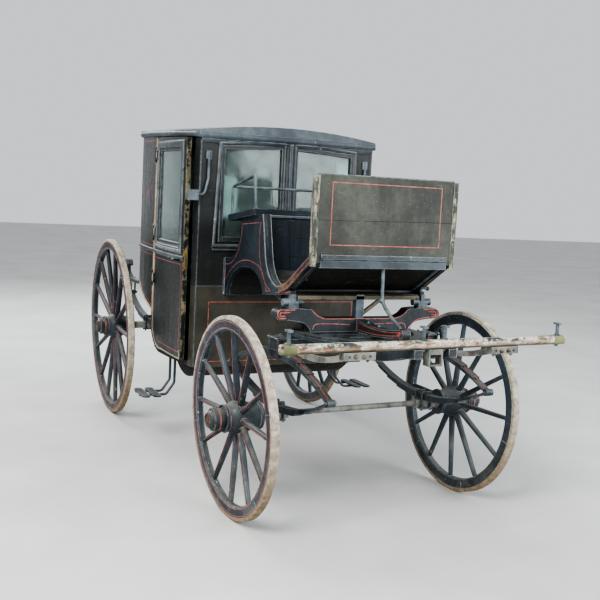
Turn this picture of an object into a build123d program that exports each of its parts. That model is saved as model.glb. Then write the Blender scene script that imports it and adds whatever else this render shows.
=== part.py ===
from build123d import *
import math
import os

# A closed coupe carriage on four wooden wheels, in millimetres: +X forward, +Y left, +Z up.
# Everything is laid out from the kingpin, which stands at X 0, Y 0 over the ground at Z 0, and is
# moved at the end so that the origin is under the middle of the whole carriage.

# Running gear
WHEELBASE = 2262
CAMBER = 1.6              # degrees that each wheel leans outward at its top
STEER_REST = 3.3          # degrees that the forecarriage stands turned to the left
AXLE_SIDE = 44            # square section of both axle beams
AXLE_WAIST_R = 15
ARM_R = 20                # axle arm inside the hub
ARM_PLAY = 0.05           # running play round the arm
HUB_GAP = 1.0             # between the hub's inner end and the axle collar
COLLAR_R = 34
COLLAR_LENGTH = 14

# Wheels: name, rolling radius, track on the ground, spokes, hub nose beyond the rim, and half
# the length over which the axle between them is turned down
WHEELS = {
    "front": {"radius": 500, "track": 1335, "spokes": 12, "nose": 127, "waist": 384},
    "rear": {"radius": 608, "track": 1497, "spokes": 14, "nose": 100, "waist": 0},
}
TYRE_WIDTH = 40
TYRE_DEPTH = 18
TYRE_ROUND = 6
FELLOE_DEPTH = 54
FELLOE_WIDTH = 38
FELLOE_CHAMFER = 6
JOINT_GROOVE = 1.6        # seam between two felloes, this wide and this deep
SPOKE_SUNK = (18, 12)     # how far a spoke runs into the hub and into the rim
DISH = 30                 # spoke roots stand this far inboard of the rim
SPOKE_ROOT = (38, 27)     # section at the hub, along the hub and around it
SPOKE_TIP = (27, 22)
HUB_INNER = 115           # hub's inner end, inboard of the spoke roots
HUB_BARREL_R = 82
HUB_BAND_R = 66
HUB_BAND_WIDTH = 16
HUB_NOSE_R = 56
HUB_CAP_R = 44
HUB_SHOULDER = 24         # half length of the barrel's straight part, over the spoke roots
HUB_SWELL = 9             # how much the barrel's curved ends draw in
HUB_BAND_AT = 58          # outer band, from the spoke roots
HUB_CAP_AT = 34           # cap's rim, back from the nose's end
HUB_CAP_RIM = 14
HUB_END_WALL = 22         # closed end of the nose beyond the axle arm

# Springs
LEAF_T = 8
LEAF_W = 42
LEAVES = 4
LEAF_STEP = 0.19          # each shorter leaf ends this share of the length sooner
EYE_R = 17
EYE_PIN_R = 8
FRONT_SPRING_Y = 446
FRONT_SPRING_HALF = 558
FRONT_SPRING_RISE = 126
REAR_SPRING_Y = 500
REAR_SPRING_BACK = 545
REAR_SPRING_AHEAD = 490
REAR_SPRING_RISE = 126
CLIP_R = 5                # U-bolts that tie each leaf pack down
CLIP_PLATE_T = 8
CLIP_PLATE_LAP = 26       # plate beyond both bolts together
CLIP_END = 10             # bolt ends below the plate
CLIP_BEND = 8
CHEEK_T = 6               # hanger and shackle plates either side of a leaf
IRON_T = 24               # long irons under the body at the rear
IRON_W = 40
IRON_BEND = 26
IRON_LEVEL = 884          # their height over the rear springs' ends
IRON_SADDLE = 912         # and where they pass under the body's rear
IRON_TAIL = 668           # farthest reach behind the rear axle
IRON_SCROLL = 140         # height of the scroll at the tail

# Turntable and forecarriage
KINGPIN_R = 14
KINGPIN_PLAY = 0.05
KINGPIN_END = 40          # pin below the bed
KINGPIN_NUT = (23, 20, 16)   # radius, height and gap under the bed
RING_R = 340
RING_WIDTH = 46
RING_T = 14
RING_PLAY = 0.4
RING_ARM_WIDTH = 50
RING_LAP = 8              # the bridge ends this far inside the ring's edge
BED_HEIGHT = 56
BED_WIDTH = 84
BED_OVERHANG = 32
FUTCHELL_Y = 95
FUTCHELL_T = 44
FUTCHELL_BACK = 330
FUTCHELL_SEAT = 60        # flat under the bar, behind its middle
FUTCHELL_NOSE = 40        # depth at the front end
BAR_X = 683
BAR_Z = 956
BAR_HALF = 774
BAR_SECTION = 42
BAR_ROUND = 13
BAR_STAY_Y = 400
BAR_STAY_T = 22
BAR_STAY_DEPTH = 30
BAR_CLAMP = (160, 34)     # clamps under the bar: width and height
PIN_OUTER_Y = 738
PIN_INNER_Y = 58
PIN_R = 9
PIN_TOP_Z = 1040
PIN_CAP = (40, 22, 9)
POLE_SOCKET = (60, 46)    # clear width and height
POLE_SOCKET_T = 8
POLE_SOCKET_TOP = 24      # thicker web under the bar
POLE_SOCKET_LENGTH = 46

# Bolster over the turntable
BOLSTER_HALF = 472
BOLSTER_T = 70
BOLSTER_END_Z = 1030
BOLSTER_NOSE = 52         # height of its rounded ends
BOLSTER_VALLEY_Z = 983
ARM_REACH = 500           # carved forward arm under the driver's feet
ARM_T = 46
BRACKET_R = 19            # barrels that carry the boot on the bolster's ends
BRACKET_LENGTH = 106
BRACKET_FOOT = (48, 52, 34)   # length, width and depth into the bolster's carving
POST_SECTION = (36, 44)
STAY_R = 9                # curved stay from the forward arm up to the dash
STAY_BOSS_R = 15
STAY_KNEE_Z = 1090

# Cabin plan: half widths at the front, the doors' hinges and the rear corner
FRONT_X = -1000
FRONT_HALF = 562
HINGE_X = 562 - WHEELBASE         # the doors' hinges stand ahead of the rear wheels
CORNER_X = 22 - WHEELBASE
BELLY_X = (FRONT_X + CORNER_X) / 2 - 20
BELLY_HALF = 625
CORNER_HALF = 582
BACK_X = -110 - WHEELBASE
BACK_HALF = 430
BACK_BOW = 14
WALL = 28
SILL_Z = 545
ROOF_Z = 1900             # top of the walls at the front
ROOF_SLOPE = 1.6          # degrees that the roof climbs to the rear
ROOF_EDGE = 30
ROOF_CROWN = 58
ROOF_OVERHANG = 16
ROOF_SKIN = 20
POST_DEPTH = 62           # front corner post along the side
QUARTER_REAR_Z = 940
QUARTER_HINGE_Z = 790
QUARTER_SAG = 18          # the sweep hangs this far under a straight run
FLOOR_T = 22
ROCKER_HEIGHT = 26
WELL_X = (FRONT_X - 50, HINGE_X + 100)
WELL_HALF = 500
WELL_LOW_Z = 432
WELL_T = 16
SEAT_X = HINGE_X - 15
SEAT_Z = 960
SEAT_BOARD_T = 18

# Windows
FRONT_PANE = {"inner": 52, "outer": 410, "low": 1300, "high": 1836, "arch": 22}
DOOR_PANE = {"front": 78, "rear": 82, "low": 1255, "high": 1838}
BACK_PANE = {"half": 170, "low": 1400, "high": 1700, "round": 40}
GLASS_T = 5

# Doors
DOOR_GAP = 7
HINGE_OUT = 9             # hinge pins stand this far outside the panel
HINGE_R = 7
HINGE_PIN_R = 3.5
HINGE_PIN_PLAY = 0.05
HINGE_LENGTH = 60
HINGE_END = 16            # fixed knuckle above and below the door's own
HINGE_END_GAP = 0.5
HINGE_LEAF = 40
HINGE_SUNK = 6            # leaves are let into the panels this deep
HINGE_Z = (1010, 1300, 1800)
DOOR_LOW_Z = 578
DOOR_CORNER_Z = 690       # the rounded lower rear corner starts here
DOOR_CORNER = 270         # length of that corner, up to half the door
DOOR_CORNER_X = HINGE_X + min(DOOR_CORNER, (FRONT_X - POST_DEPTH - HINGE_X) / 2)
DOOR_AJAR = 4.5           # degrees that the right door stands open at rest
HANDLE_Z = 1175
HANDLE_REACH = 46
HANDLE_INSET = 44         # spindle behind the door's free edge
HANDLE_R = 7
HANDLE_LENGTH = 88
HANDLE_DROP = 12
HANDLE_SUNK = 6

# Driver's boot, seen from the side
BOOT_HALF = 385
BOOT_PANEL = 22
BOOT_REAR = (-1000, 978)
BOOT_SHOULDER_Z = 1207
BOOT_NECK_X = -738
BOOT_NECK_FRONT_X = -432
BOOT_NECK_LOW = (-372, 1262)     # the front edge runs straight up from here
BOOT_FRONT_LOW = (-178, 1112)
BOOT_TOE = (12, 1102)
BOOT_TOE_HEIGHT = 16
BOOT_TOE_LENGTH = 110
BOOT_NECK_BULGE = (-310, 1162)   # below it the front edge's curve passes here
BOOT_BACK_BULGE = (-792, 1282)   # and the rear edge's here
BOOT_WALL_BACK = 60       # plank front behind the front edge of the sides
BOOT_FLOOR_TAPER = (90, 100, 10)   # full thickness from the arch, taper to the toe and its rise
ARCH_X = -665
ARCH_HALF = 290
ARCH_RISE = 158
ARCH_SKIN = 14
SEAT_BOARD_HALF = 412
SEAT_BOARD_FRONT = (-490, 1475)
SEAT_BOARD_REAR = (-912, 1424)
SEAT_BOARD_THICK = 34
SEAT_BOARD_CORNER = 14
RAIL_R = 8
RAIL_HEIGHT = 185
RAIL_REAR_Z = 1622
RAIL_INSET = 22
RAIL_FRONT = 30
RAIL_REAR = 14
RAIL_LEAN = 24
FOOTBOARD_T = 22
DASH_X = 228
DASH_HALF = 372
DASH_Z = (1280, 1700)
DASH_T = 24
DASH_POST = (30, 26)

# Small irons
LAMP_SOCKET = (58, 61)
LAMP_SOCKET_DEPTH = 40
LAMP_SOCKET_WALL = 7
LAMP_SOCKET_Y = 604
LAMP_SOCKET_Z = 1563
LAMP_IRON_Y = 511
LAMP_IRON_Z = 1822
LAMP_IRON_R = 8
LAMP_BEND_Z = 1660
LAMP_PAD = (32, 48, 9)    # pad on the post: width, height and thickness
STEP_X = (FRONT_X - POST_DEPTH + HINGE_X) / 2 + 11    # below the middle of the doors
STEP_Y = 728
STEP_Z = 320
STEP_SIZE = (250, 118)
STEP_BAR_SHARE = 0.42     # width of each tread bar, as a share of the plate
STEP_BAR_T = 10
STEP_TIE = (26, 8)        # cross ties under the bars
STEP_ROD_R = 8
STEP_HANGER_Y = 562
STEP_RAKE = 20            # hangers stand this far behind their ties

# Interior seat
CUSHION_T = 110
BACKREST_T = 110
BACKREST_HEIGHT = 430
BACKREST_LAP = 40
LINING_T = 8              # cloth and stuffing between the walls and the cushions
SOFT_GAP = 0.3
SEAT_GAP = 0.3            # bolted irons from the wood that they carry


# Outline helpers

def outline(start, *steps):
    """A closed face: each step is a point for a straight run, or (through, end) for an arc."""
    edges = []
    here = start
    for step in steps:
        if isinstance(step[0], tuple):
            through, end = step
            edges.append(ThreePointArc(here, through, end))
        else:
            end = step
            edges.append(Line(here, end))
        here = end
    if here != start:
        edges.append(Line(here, start))
    return make_face(edges)


def across(face, y_low, y_high):
    """Extrude a side profile, drawn in X and Z, between two Y values."""
    return extrude(Plane.XZ.offset(-y_high) * face, amount=y_high - y_low)


def along(face, x_low, x_high):
    """Extrude a front profile, drawn in Y and Z, between two X values."""
    return extrude(Plane.YZ.offset(x_low) * face, amount=x_high - x_low)


def block(x_range, y_range, z_range):
    """A plain box between two corners."""
    size = [high - low for low, high in (x_range, y_range, z_range)]
    middle = [(high + low) / 2 for low, high in (x_range, y_range, z_range)]
    return Pos(*middle) * Box(*size)


def rod(points, radius, bend):
    """A round bar along a bent line."""
    path = FilletPolyline(*points, radius=bend)
    return sweep(Plane(path @ 0, z_dir=path % 0) * Circle(radius), path=path)


def strap(points, bend, section):
    """A flat or square bar along a bent line that stays in an XZ plane."""
    path = FilletPolyline(*points, radius=bend)
    plane = Plane(path @ 0, x_dir=(0, 1, 0), z_dir=path % 0)
    return sweep(plane * Rectangle(*section), path=path)


def mirrored(shape):
    """The same piece on the other side of the carriage."""
    return mirror(shape, about=Plane.XZ)


# Wheels

def wheel_centre(kind):
    """Height and half track at the hub of a wheel that leans outward."""
    lean = math.radians(CAMBER)
    radius = WHEELS[kind]["radius"]
    height = radius * math.cos(lean) + TYRE_WIDTH / 2 * math.sin(lean)
    half_track = WHEELS[kind]["track"] / 2 + radius * math.sin(lean)
    return half_track, height


def wheel_plane(kind, side):
    """Plane in the middle of a rim, looking outward along the axle arm."""
    lean = math.radians(CAMBER)
    half_track, height = wheel_centre(kind)
    station = 0 if kind == "front" else -WHEELBASE
    outward = (0, side * math.cos(lean), -math.sin(lean))
    return Plane(origin=(station, side * half_track, height), x_dir=(1, 0, 0), z_dir=outward)


def tyre(radius):
    """Solid tyre with rounded shoulders."""
    ring = Circle(radius) - Circle(radius - TYRE_DEPTH)
    body = extrude(ring, amount=TYRE_WIDTH / 2, both=True)
    shoulders = [edge for edge in body.edges().filter_by(GeomType.CIRCLE) if edge.radius > radius - 1]
    return fillet(shoulders, TYRE_ROUND)


def hub(nose):
    """Turned hub with two raised bands, bored for the axle arm and closed at its nose."""
    inner = -DISH - HUB_INNER
    root = -DISH
    band = HUB_BAND_WIDTH
    band_end = root + HUB_BAND_AT + band
    cap = nose - HUB_CAP_AT + HUB_CAP_RIM
    neck_r = HUB_BAND_R - 5
    profile = outline(
        (ARM_R + ARM_PLAY, inner),
        (HUB_BAND_R, inner),
        (HUB_BAND_R, inner + band),
        (neck_r, inner + band),
        ((HUB_BARREL_R - HUB_SWELL, root - 2 * HUB_SHOULDER), (HUB_BARREL_R, root - HUB_SHOULDER)),
        (HUB_BARREL_R, root + HUB_SHOULDER),
        ((HUB_BARREL_R - HUB_SWELL, root + 1.8 * HUB_SHOULDER), (neck_r, root + HUB_BAND_AT)),
        (HUB_BAND_R, root + HUB_BAND_AT),
        (HUB_BAND_R, band_end),
        (HUB_NOSE_R - 4, band_end),
        (HUB_NOSE_R, nose - HUB_CAP_AT),
        (HUB_NOSE_R, cap),
        (HUB_CAP_R, cap),
        ((HUB_CAP_R - 4, nose - 6), (HUB_CAP_R - 16, nose)),
        (0, nose),
        (0, nose - HUB_END_WALL),
        (ARM_R + ARM_PLAY, nose - HUB_END_WALL),
    )
    return revolve(Plane.XZ * profile, axis=Axis.Z)


def felloes_and_spokes(radius, count, turned_hub):
    """Wooden rim with its seams, and tapered spokes that lean out to it from the hub."""
    rim_r = radius - TYRE_DEPTH
    inner_r = rim_r - FELLOE_DEPTH
    rim = extrude(Circle(rim_r) - Circle(inner_r), amount=FELLOE_WIDTH / 2, both=True)
    inside = [edge for edge in rim.edges().filter_by(GeomType.CIRCLE) if edge.radius < inner_r + 1]
    rim = chamfer(inside, FELLOE_CHAMFER)
    start = Vector(HUB_BARREL_R - SPOKE_SUNK[0], 0, -DISH)
    end = Vector(inner_r + SPOKE_SUNK[1], 0, 0)
    sections = []
    for place, (along_hub, around) in ((start, SPOKE_ROOT), (end, SPOKE_TIP)):
        plane = Plane(origin=place, x_dir=(0, 1, 0), z_dir=end - start)
        sections.append(plane * Ellipse(around / 2, along_hub / 2))
    spoke = loft(sections)
    wood = rim
    step = 360 / count
    for number in range(count):
        wood += Rot(0, 0, number * step) * spoke
    seam_z = FELLOE_WIDTH / 2
    for number in range(count // 2):
        for face in (-1, 1):
            groove = Box(FELLOE_DEPTH, JOINT_GROOVE, 2 * JOINT_GROOVE)
            seam = Pos((rim_r + inner_r) / 2, 0, face * seam_z) * groove
            wood -= Rot(0, 0, (2 * number + 0.5) * step) * seam
    return wood - turned_hub


def wheel(kind, side):
    """One wheel in place: its tyre, and its wood with the hub."""
    size = WHEELS[kind]
    turned_hub = hub(size["nose"])
    wood = felloes_and_spokes(size["radius"], size["spokes"], turned_hub)
    place = wheel_plane(kind, side)
    return place * tyre(size["radius"]), place * Compound(children=[wood, turned_hub])


def axle(kind):
    """Square beam with a collar and a round arm at each end, the arms turned down by the camber."""
    half_track, height = wheel_centre(kind)
    inner = -DISH - HUB_INNER - HUB_GAP
    arm_end = WHEELS[kind]["nose"] - HUB_END_WALL - HUB_GAP
    beam_half = half_track + inner - COLLAR_LENGTH / 2
    beam_z = height + math.sin(math.radians(CAMBER)) * (half_track - beam_half)
    station = 0 if kind == "front" else -WHEELBASE
    beam = Pos(station, 0, beam_z) * Box(AXLE_SIDE, 2 * beam_half, AXLE_SIDE)
    waist = WHEELS[kind]["waist"]
    if waist:
        beam -= Pos(station, 0, beam_z) * Box(2 * AXLE_SIDE, 2 * waist, 2 * AXLE_SIDE)
        beam += Pos(station, 0, beam_z) * Rot(90, 0, 0) * Cylinder(AXLE_WAIST_R, 2 * waist + AXLE_SIDE)
    for side in (1, -1):
        place = wheel_plane(kind, side)
        collar = Pos(0, 0, inner - COLLAR_LENGTH / 2) * Cylinder(COLLAR_R, COLLAR_LENGTH)
        arm = Pos(0, 0, (inner + arm_end) / 2) * Cylinder(ARM_R, arm_end - inner)
        beam += place * collar
        beam += place * arm
    return beam, beam_z + AXLE_SIDE / 2


# Springs

def leaf_arc(radius, ahead, back, thickness_at):
    """A curved leaf, hollow side up, lowest at X 0, between two distances along X."""
    inner = radius - thickness_at - LEAF_T
    outer = radius - thickness_at
    front = math.asin(ahead / radius)
    rear = math.asin(back / radius)

    def at(r, angle):
        return (r * math.sin(angle), radius - r * math.cos(angle))

    face = outline(
        at(outer, -rear),
        (at(outer, (front - rear) / 2), at(outer, front)),
        at(inner, front),
        (at(inner, (front - rear) / 2), at(inner, -rear)),
    )
    return across(face, -LEAF_W / 2, LEAF_W / 2)


def half_spring(rise, ahead, back):
    """Leaf pack standing on Z 0 at X 0, shortest leaf lowest, with an eye at each end."""
    stack = LEAVES * LEAF_T
    longest = max(ahead, back)
    radius = (longest ** 2 + rise ** 2) / (2 * rise)
    leaves = []
    for number in range(LEAVES):
        share = 1 - LEAF_STEP * (LEAVES - 1 - number)
        leaves.append(leaf_arc(radius, ahead * share, back * share, number * LEAF_T))
    eyes = []
    main_r = radius - stack + LEAF_T / 2
    for reach in (ahead, -back):
        angle = math.asin(reach / radius)
        centre = (main_r * math.sin(angle), radius - main_r * math.cos(angle))
        eye = Pos(centre[0], 0, centre[1]) * Rot(90, 0, 0) * Cylinder(EYE_R, LEAF_W)
        leaves[-1] += eye
        eyes.append(centre)
    bores = [Pos(x, 0, z) * Rot(90, 0, 0) * Cylinder(EYE_PIN_R, LEAF_W * 2) for x, z in eyes]
    for bore in bores:
        leaves[-1] -= bore
    for number in range(LEAVES - 1):
        leaves[number] -= leaves[number + 1]
    return leaves, eyes


def u_bolts(half_x, cross_z, plate_z, plate_half_y):
    """Two U-bolts over a leaf pack, ahead of and behind what it is tied to, and their plate."""
    leg_y = LEAF_W / 2 + CLIP_R + 1
    up = 1 if cross_z > plate_z else -1
    end_z = plate_z - up * (CLIP_PLATE_T + CLIP_END)
    loops = []
    for x in (-half_x, half_x):
        points = [(x, leg_y, end_z), (x, leg_y, cross_z), (x, -leg_y, cross_z), (x, -leg_y, end_z)]
        loops.append(rod(points, CLIP_R, CLIP_BEND))
    plate = Box(2 * half_x + CLIP_PLATE_LAP, 2 * plate_half_y, CLIP_PLATE_T)
    return loops[0] + loops[1] + Pos(0, 0, plate_z - up * CLIP_PLATE_T / 2) * plate


def pinned_cheeks(pin, top_z, half_x, inner_half_y):
    """Two plates either side of an eye with the pin through it, running up to a height."""
    pin_x, pin_z = pin
    plates = []
    for side in (1, -1):
        y_range = sorted((side * inner_half_y, side * (inner_half_y + CHEEK_T)))
        plates.append(block((pin_x - half_x, pin_x + half_x), y_range, (pin_z - half_x, top_z)))
    bolt = Pos(pin_x, 0, pin_z) * Rot(90, 0, 0) * Cylinder(EYE_PIN_R, 2 * inner_half_y + 4 * CHEEK_T)
    return plates[0] + plates[1] + bolt


# Cabin

def plan_face():
    """Outline of the cabin from above, outside faces."""
    corner_mid = (CORNER_X - 92, CORNER_HALF - 46)
    return outline(
        (FRONT_X, -FRONT_HALF),
        (FRONT_X, FRONT_HALF),
        ((BELLY_X, BELLY_HALF), (CORNER_X, CORNER_HALF)),
        (corner_mid, (BACK_X, BACK_HALF)),
        ((BACK_X - BACK_BOW, 0), (BACK_X, -BACK_HALF)),
        ((corner_mid[0], -corner_mid[1]), (CORNER_X, -CORNER_HALF)),
        ((BELLY_X, -BELLY_HALF), (FRONT_X, -FRONT_HALF)),
    )


def side_half_width(x):
    """Half width of the cabin's outer side at a place along it, on the side's arc."""
    a, b, c = (FRONT_X, FRONT_HALF), (BELLY_X, BELLY_HALF), (CORNER_X, CORNER_HALF)
    twice_area = 2 * (a[0] * (b[1] - c[1]) + b[0] * (c[1] - a[1]) + c[0] * (a[1] - b[1]))
    squares = [px ** 2 + py ** 2 for px, py in (a, b, c)]
    sum_x = squares[0] * (b[1] - c[1]) + squares[1] * (c[1] - a[1]) + squares[2] * (a[1] - b[1])
    sum_y = squares[0] * (c[0] - b[0]) + squares[1] * (a[0] - c[0]) + squares[2] * (b[0] - a[0])
    centre = (sum_x / twice_area, sum_y / twice_area)
    radius = math.dist(centre, a)
    return centre[1] + math.sqrt(radius ** 2 - (x - centre[0]) ** 2)


def roof_tilt(shape):
    """Turn a level piece about the front top edge, so that it climbs to the rear."""
    return Pos(FRONT_X, 0, ROOF_Z) * Rot(0, ROOF_SLOPE, 0) * Pos(-FRONT_X, 0, -ROOF_Z) * shape


def wall_sheet(outer_in, inner_in, low, high):
    """The standing sheet between two lines inside the cabin's outline."""
    outer = offset(PLAN, amount=-outer_in) if outer_in else PLAN
    return extrude(Pos(0, 0, low) * (outer - offset(PLAN, amount=-inner_in)), amount=high - low)


PLAN = plan_face()
REAR_MOST = BACK_X - BACK_BOW
HIGH = ROOF_Z + 300
WIDE = BELLY_HALF + 200
ABOVE_WALLS = roof_tilt(block((REAR_MOST - 200, FRONT_X + 100), (-WIDE, WIDE), (ROOF_Z, HIGH)))
WALLS = wall_sheet(0, WALL, SILL_Z, HIGH) - ABOVE_WALLS
POST_X = FRONT_X - POST_DEPTH
QUARTER_X = HINGE_X - DOOR_GAP
DOOR_FRONT_X = POST_X - DOOR_GAP


def pane_face(side):
    """A front window's opening, with its top rising to the middle of the carriage."""
    pane = FRONT_PANE
    inner = side * pane["inner"]
    outer = side * pane["outer"]
    low = pane["low"]
    high = pane["high"]
    arch = pane["arch"]
    return outline(
        (outer, low),
        (outer, high),
        (((inner + outer) / 2, high + arch * 0.75), (inner, high + arch)),
        (inner, low),
    )


def back_pane_face():
    """The small rounded window in the back."""
    pane = BACK_PANE
    middle_z = (pane["low"] + pane["high"]) / 2
    return Pos(0, middle_z) * RectangleRounded(2 * pane["half"], pane["high"] - pane["low"], pane["round"])


def cabin_front():
    """Front wall with its corner posts, sill and two arched windows."""
    wall = WALLS & block((POST_X, FRONT_X + 1), (-WIDE, WIDE), (SILL_Z, HIGH))
    for side in (1, -1):
        wall -= along(pane_face(side), FRONT_X - WALL - 5, FRONT_X + 5)
    return wall


def quarter_low_line(x_from):
    """Cutter under the rear quarter: its lower edge sweeps up from the door to the back."""
    middle_z = (QUARTER_HINGE_Z + QUARTER_REAR_Z) / 2 - QUARTER_SAG
    return outline(
        (x_from, SILL_Z - 200),
        (x_from, QUARTER_HINGE_Z),
        (QUARTER_X, QUARTER_HINGE_Z),
        (((QUARTER_X + CORNER_X) / 2, middle_z), (CORNER_X, QUARTER_REAR_Z)),
        (REAR_MOST - 100, QUARTER_REAR_Z + 8),
        (REAR_MOST - 100, SILL_Z - 200),
    )


def quarter(side):
    """Rear side panel with the rounded rear corner, swept up behind the door, and its hinges."""
    panel = WALLS & block((REAR_MOST - 50, QUARTER_X), (BACK_HALF, WIDE), (SILL_Z, HIGH))
    panel -= across(quarter_low_line(QUARTER_X + 60), 0, WIDE)
    pin_x, pin_y = hinge_axis()
    for z in HINGE_Z:
        span = HINGE_LENGTH / 2 + HINGE_END_GAP
        pin_half = span + HINGE_END
        panel += Pos(pin_x, pin_y, z) * Cylinder(HINGE_PIN_R, 2 * pin_half)
        for end in (-1, 1):
            middle_z = z + end * (span + HINGE_END / 2)
            z_range = (middle_z - HINGE_END / 2, middle_z + HINGE_END / 2)
            panel += Pos(pin_x, pin_y, middle_z) * Cylinder(HINGE_R, HINGE_END)
            leaf = block((pin_x - HINGE_LEAF, pin_x), (pin_y - HINGE_OUT - HINGE_SUNK, pin_y), z_range)
            panel += leaf & behind_pin(pin_x)
    return panel if side > 0 else mirrored(panel)


def behind_pin(pin_x):
    """Room behind the door's rear edge, where fixed hinge leaves may be."""
    room = block((pin_x - 2 * HINGE_LEAF, pin_x), (0, WIDE), (0, HIGH))
    return room - block((QUARTER_X, pin_x), (0, side_half_width(pin_x)), (0, HIGH))


def cabin_back():
    """Bowed back panel with a small window."""
    panel = WALLS & block((REAR_MOST - 50, BACK_X + WALL + 40), (-BACK_HALF, BACK_HALF), (SILL_Z, HIGH))
    panel -= across(quarter_low_line(QUARTER_X + 60), -WIDE, WIDE)
    return panel - along(back_pane_face(), REAR_MOST - 20, BACK_X + WALL + 60)


def cabin_floor():
    """Floor with its rockers and dropped footwell, seat riser, seat board and swept bottom."""
    inside = offset(PLAN, amount=-WALL)
    rear_x = SEAT_X - SEAT_BOARD_T
    floor_plan = inside & Pos((FRONT_X + rear_x) / 2, 0) * Rectangle(FRONT_X - rear_x, 2 * WIDE)
    floor = extrude(Pos(0, 0, SILL_Z) * floor_plan, amount=FLOOR_T)
    front, rear = WELL_X
    middle = (front + rear) / 2
    shell = outline((front, SILL_Z), ((middle, WELL_LOW_Z), (rear, SILL_Z)))
    hollow = outline(
        (front - WELL_T, SILL_Z + FLOOR_T + 1),
        (front - WELL_T, SILL_Z),
        ((middle, WELL_LOW_Z + WELL_T), (rear + WELL_T, SILL_Z)),
        (rear + WELL_T, SILL_Z + FLOOR_T + 1),
    )
    floor += across(shell, -WELL_HALF, WELL_HALF)
    floor -= across(hollow, WELL_T - WELL_HALF, WELL_HALF - WELL_T)
    floor += rockers()
    column = extrude(Pos(0, 0, SILL_Z) * inside, amount=SEAT_Z - SILL_Z)
    top = block((REAR_MOST, SEAT_X), (-WIDE, WIDE), (SEAT_Z - SEAT_BOARD_T, SEAT_Z))
    riser = block((rear_x, SEAT_X), (-WIDE, WIDE), (SILL_Z, SEAT_Z))
    bottom = across(quarter_low_line(QUARTER_X + 60), -WIDE, WIDE)
    swept = block((REAR_MOST, rear_x), (-WIDE, WIDE), (SILL_Z, SEAT_Z - 1)) - bottom
    room = block((CORNER_X + 40, rear_x), (-WIDE, WIDE), (SILL_Z, HIGH))
    swept -= room - Pos(0, 0, SEAT_BOARD_T) * bottom
    return floor + ((top + riser + swept) & column)


def rockers():
    """Curved strips under both doors, from the front posts round to the hinge posts."""
    gap = DOOR_GAP
    height = ROCKER_HEIGHT
    low = SILL_Z
    corner_x, corner_z = HINGE_X, DOOR_CORNER_Z
    middle = door_corner_middle()
    face = outline(
        (POST_X, low),
        (POST_X, DOOR_LOW_Z - gap),
        (DOOR_CORNER_X, DOOR_LOW_Z - gap),
        ((middle[0] - gap, middle[1] - gap), (QUARTER_X, corner_z)),
        (QUARTER_X, QUARTER_HINGE_Z),
        (corner_x - gap - height, QUARTER_HINGE_Z + 1),
        (corner_x - gap - height, corner_z - 20),
        ((middle[0] - gap - height / 2, middle[1] - gap - height), (DOOR_CORNER_X - 40, low)),
    )
    swept = across(quarter_low_line(QUARTER_X + 60), -WIDE, WIDE)
    strips = wall_sheet(0, WALL, SILL_Z, HIGH) & across(face, -WIDE, WIDE)
    return strips & (swept + block((QUARTER_X, POST_X), (-WIDE, WIDE), (SILL_Z, QUARTER_HINGE_Z)))


def roof():
    """Crowned roof with a thick edge, hollow underneath."""
    outer_plan = offset(PLAN, amount=ROOF_OVERHANG)
    inner_plan = offset(PLAN, amount=-WALL - 12)
    half = BELLY_HALF + 60
    edge_z = ROOF_Z + ROOF_EDGE - 8
    crown_z = ROOF_Z + ROOF_EDGE + ROOF_CROWN
    top = outline((-half, ROOF_Z), (-half, edge_z), ((0, crown_z), (half, edge_z)), (half, ROOF_Z))
    under = outline(
        (-half, ROOF_Z - 40),
        (-half, edge_z - ROOF_SKIN),
        ((0, crown_z - ROOF_SKIN), (half, edge_z - ROOF_SKIN)),
        (half, ROOF_Z - 40),
    )
    column = extrude(Pos(0, 0, ROOF_Z) * outer_plan, amount=300)
    core = extrude(Pos(0, 0, ROOF_Z - 50) * inner_plan, amount=300)
    crown = along(top, REAR_MOST - 100, FRONT_X + 100) & column
    hollow = along(under, REAR_MOST - 100, FRONT_X + 100) & core
    return roof_tilt(crown - hollow)


# Doors

def hinge_axis():
    """The left door's pin line, just outside the panel at its rear edge."""
    return HINGE_X, side_half_width(HINGE_X) + HINGE_OUT


def door_corner_middle():
    """Middle of the rounded lower rear corner of a door."""
    return (HINGE_X + 78, DOOR_LOW_Z + 36)


def door_window():
    """Cutter for the left door's window opening."""
    front = DOOR_FRONT_X - DOOR_PANE["front"]
    rear = HINGE_X + DOOR_PANE["rear"]
    return block((rear, front), (0, WIDE), (DOOR_PANE["low"], DOOR_PANE["high"]))


def door(side):
    """Door panel with its window, hinge knuckles and handle, standing closed."""
    outside = outline(
        (DOOR_FRONT_X + 50, 300),
        (DOOR_FRONT_X + 50, DOOR_LOW_Z),
        (DOOR_CORNER_X, DOOR_LOW_Z),
        (door_corner_middle(), (HINGE_X, DOOR_CORNER_Z)),
        (HINGE_X - 60, DOOR_CORNER_Z),
        (HINGE_X - 60, 300),
    )
    top = roof_tilt(block((HINGE_X - 50, FRONT_X), (0, WIDE), (ROOF_Z - DOOR_GAP, HIGH)))
    panel = WALLS & block((HINGE_X, DOOR_FRONT_X), (0, WIDE), (SILL_Z, HIGH))
    panel = panel - across(outside, 0, WIDE) - top - door_window()
    pin_x, pin_y = hinge_axis()
    for z in HINGE_Z:
        z_range = (z - HINGE_LENGTH / 2, z + HINGE_LENGTH / 2)
        panel += block((pin_x, pin_x + HINGE_LEAF), (pin_y - HINGE_OUT - HINGE_SUNK, pin_y), z_range)
        panel += Pos(pin_x, pin_y, z) * Cylinder(HINGE_R, HINGE_LENGTH)
        panel -= Pos(pin_x, pin_y, z) * Cylinder(HINGE_PIN_R + HINGE_PIN_PLAY, HINGE_LENGTH)
    panel += handle(DOOR_FRONT_X - HANDLE_INSET)
    return panel if side > 0 else mirrored(panel)


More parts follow.
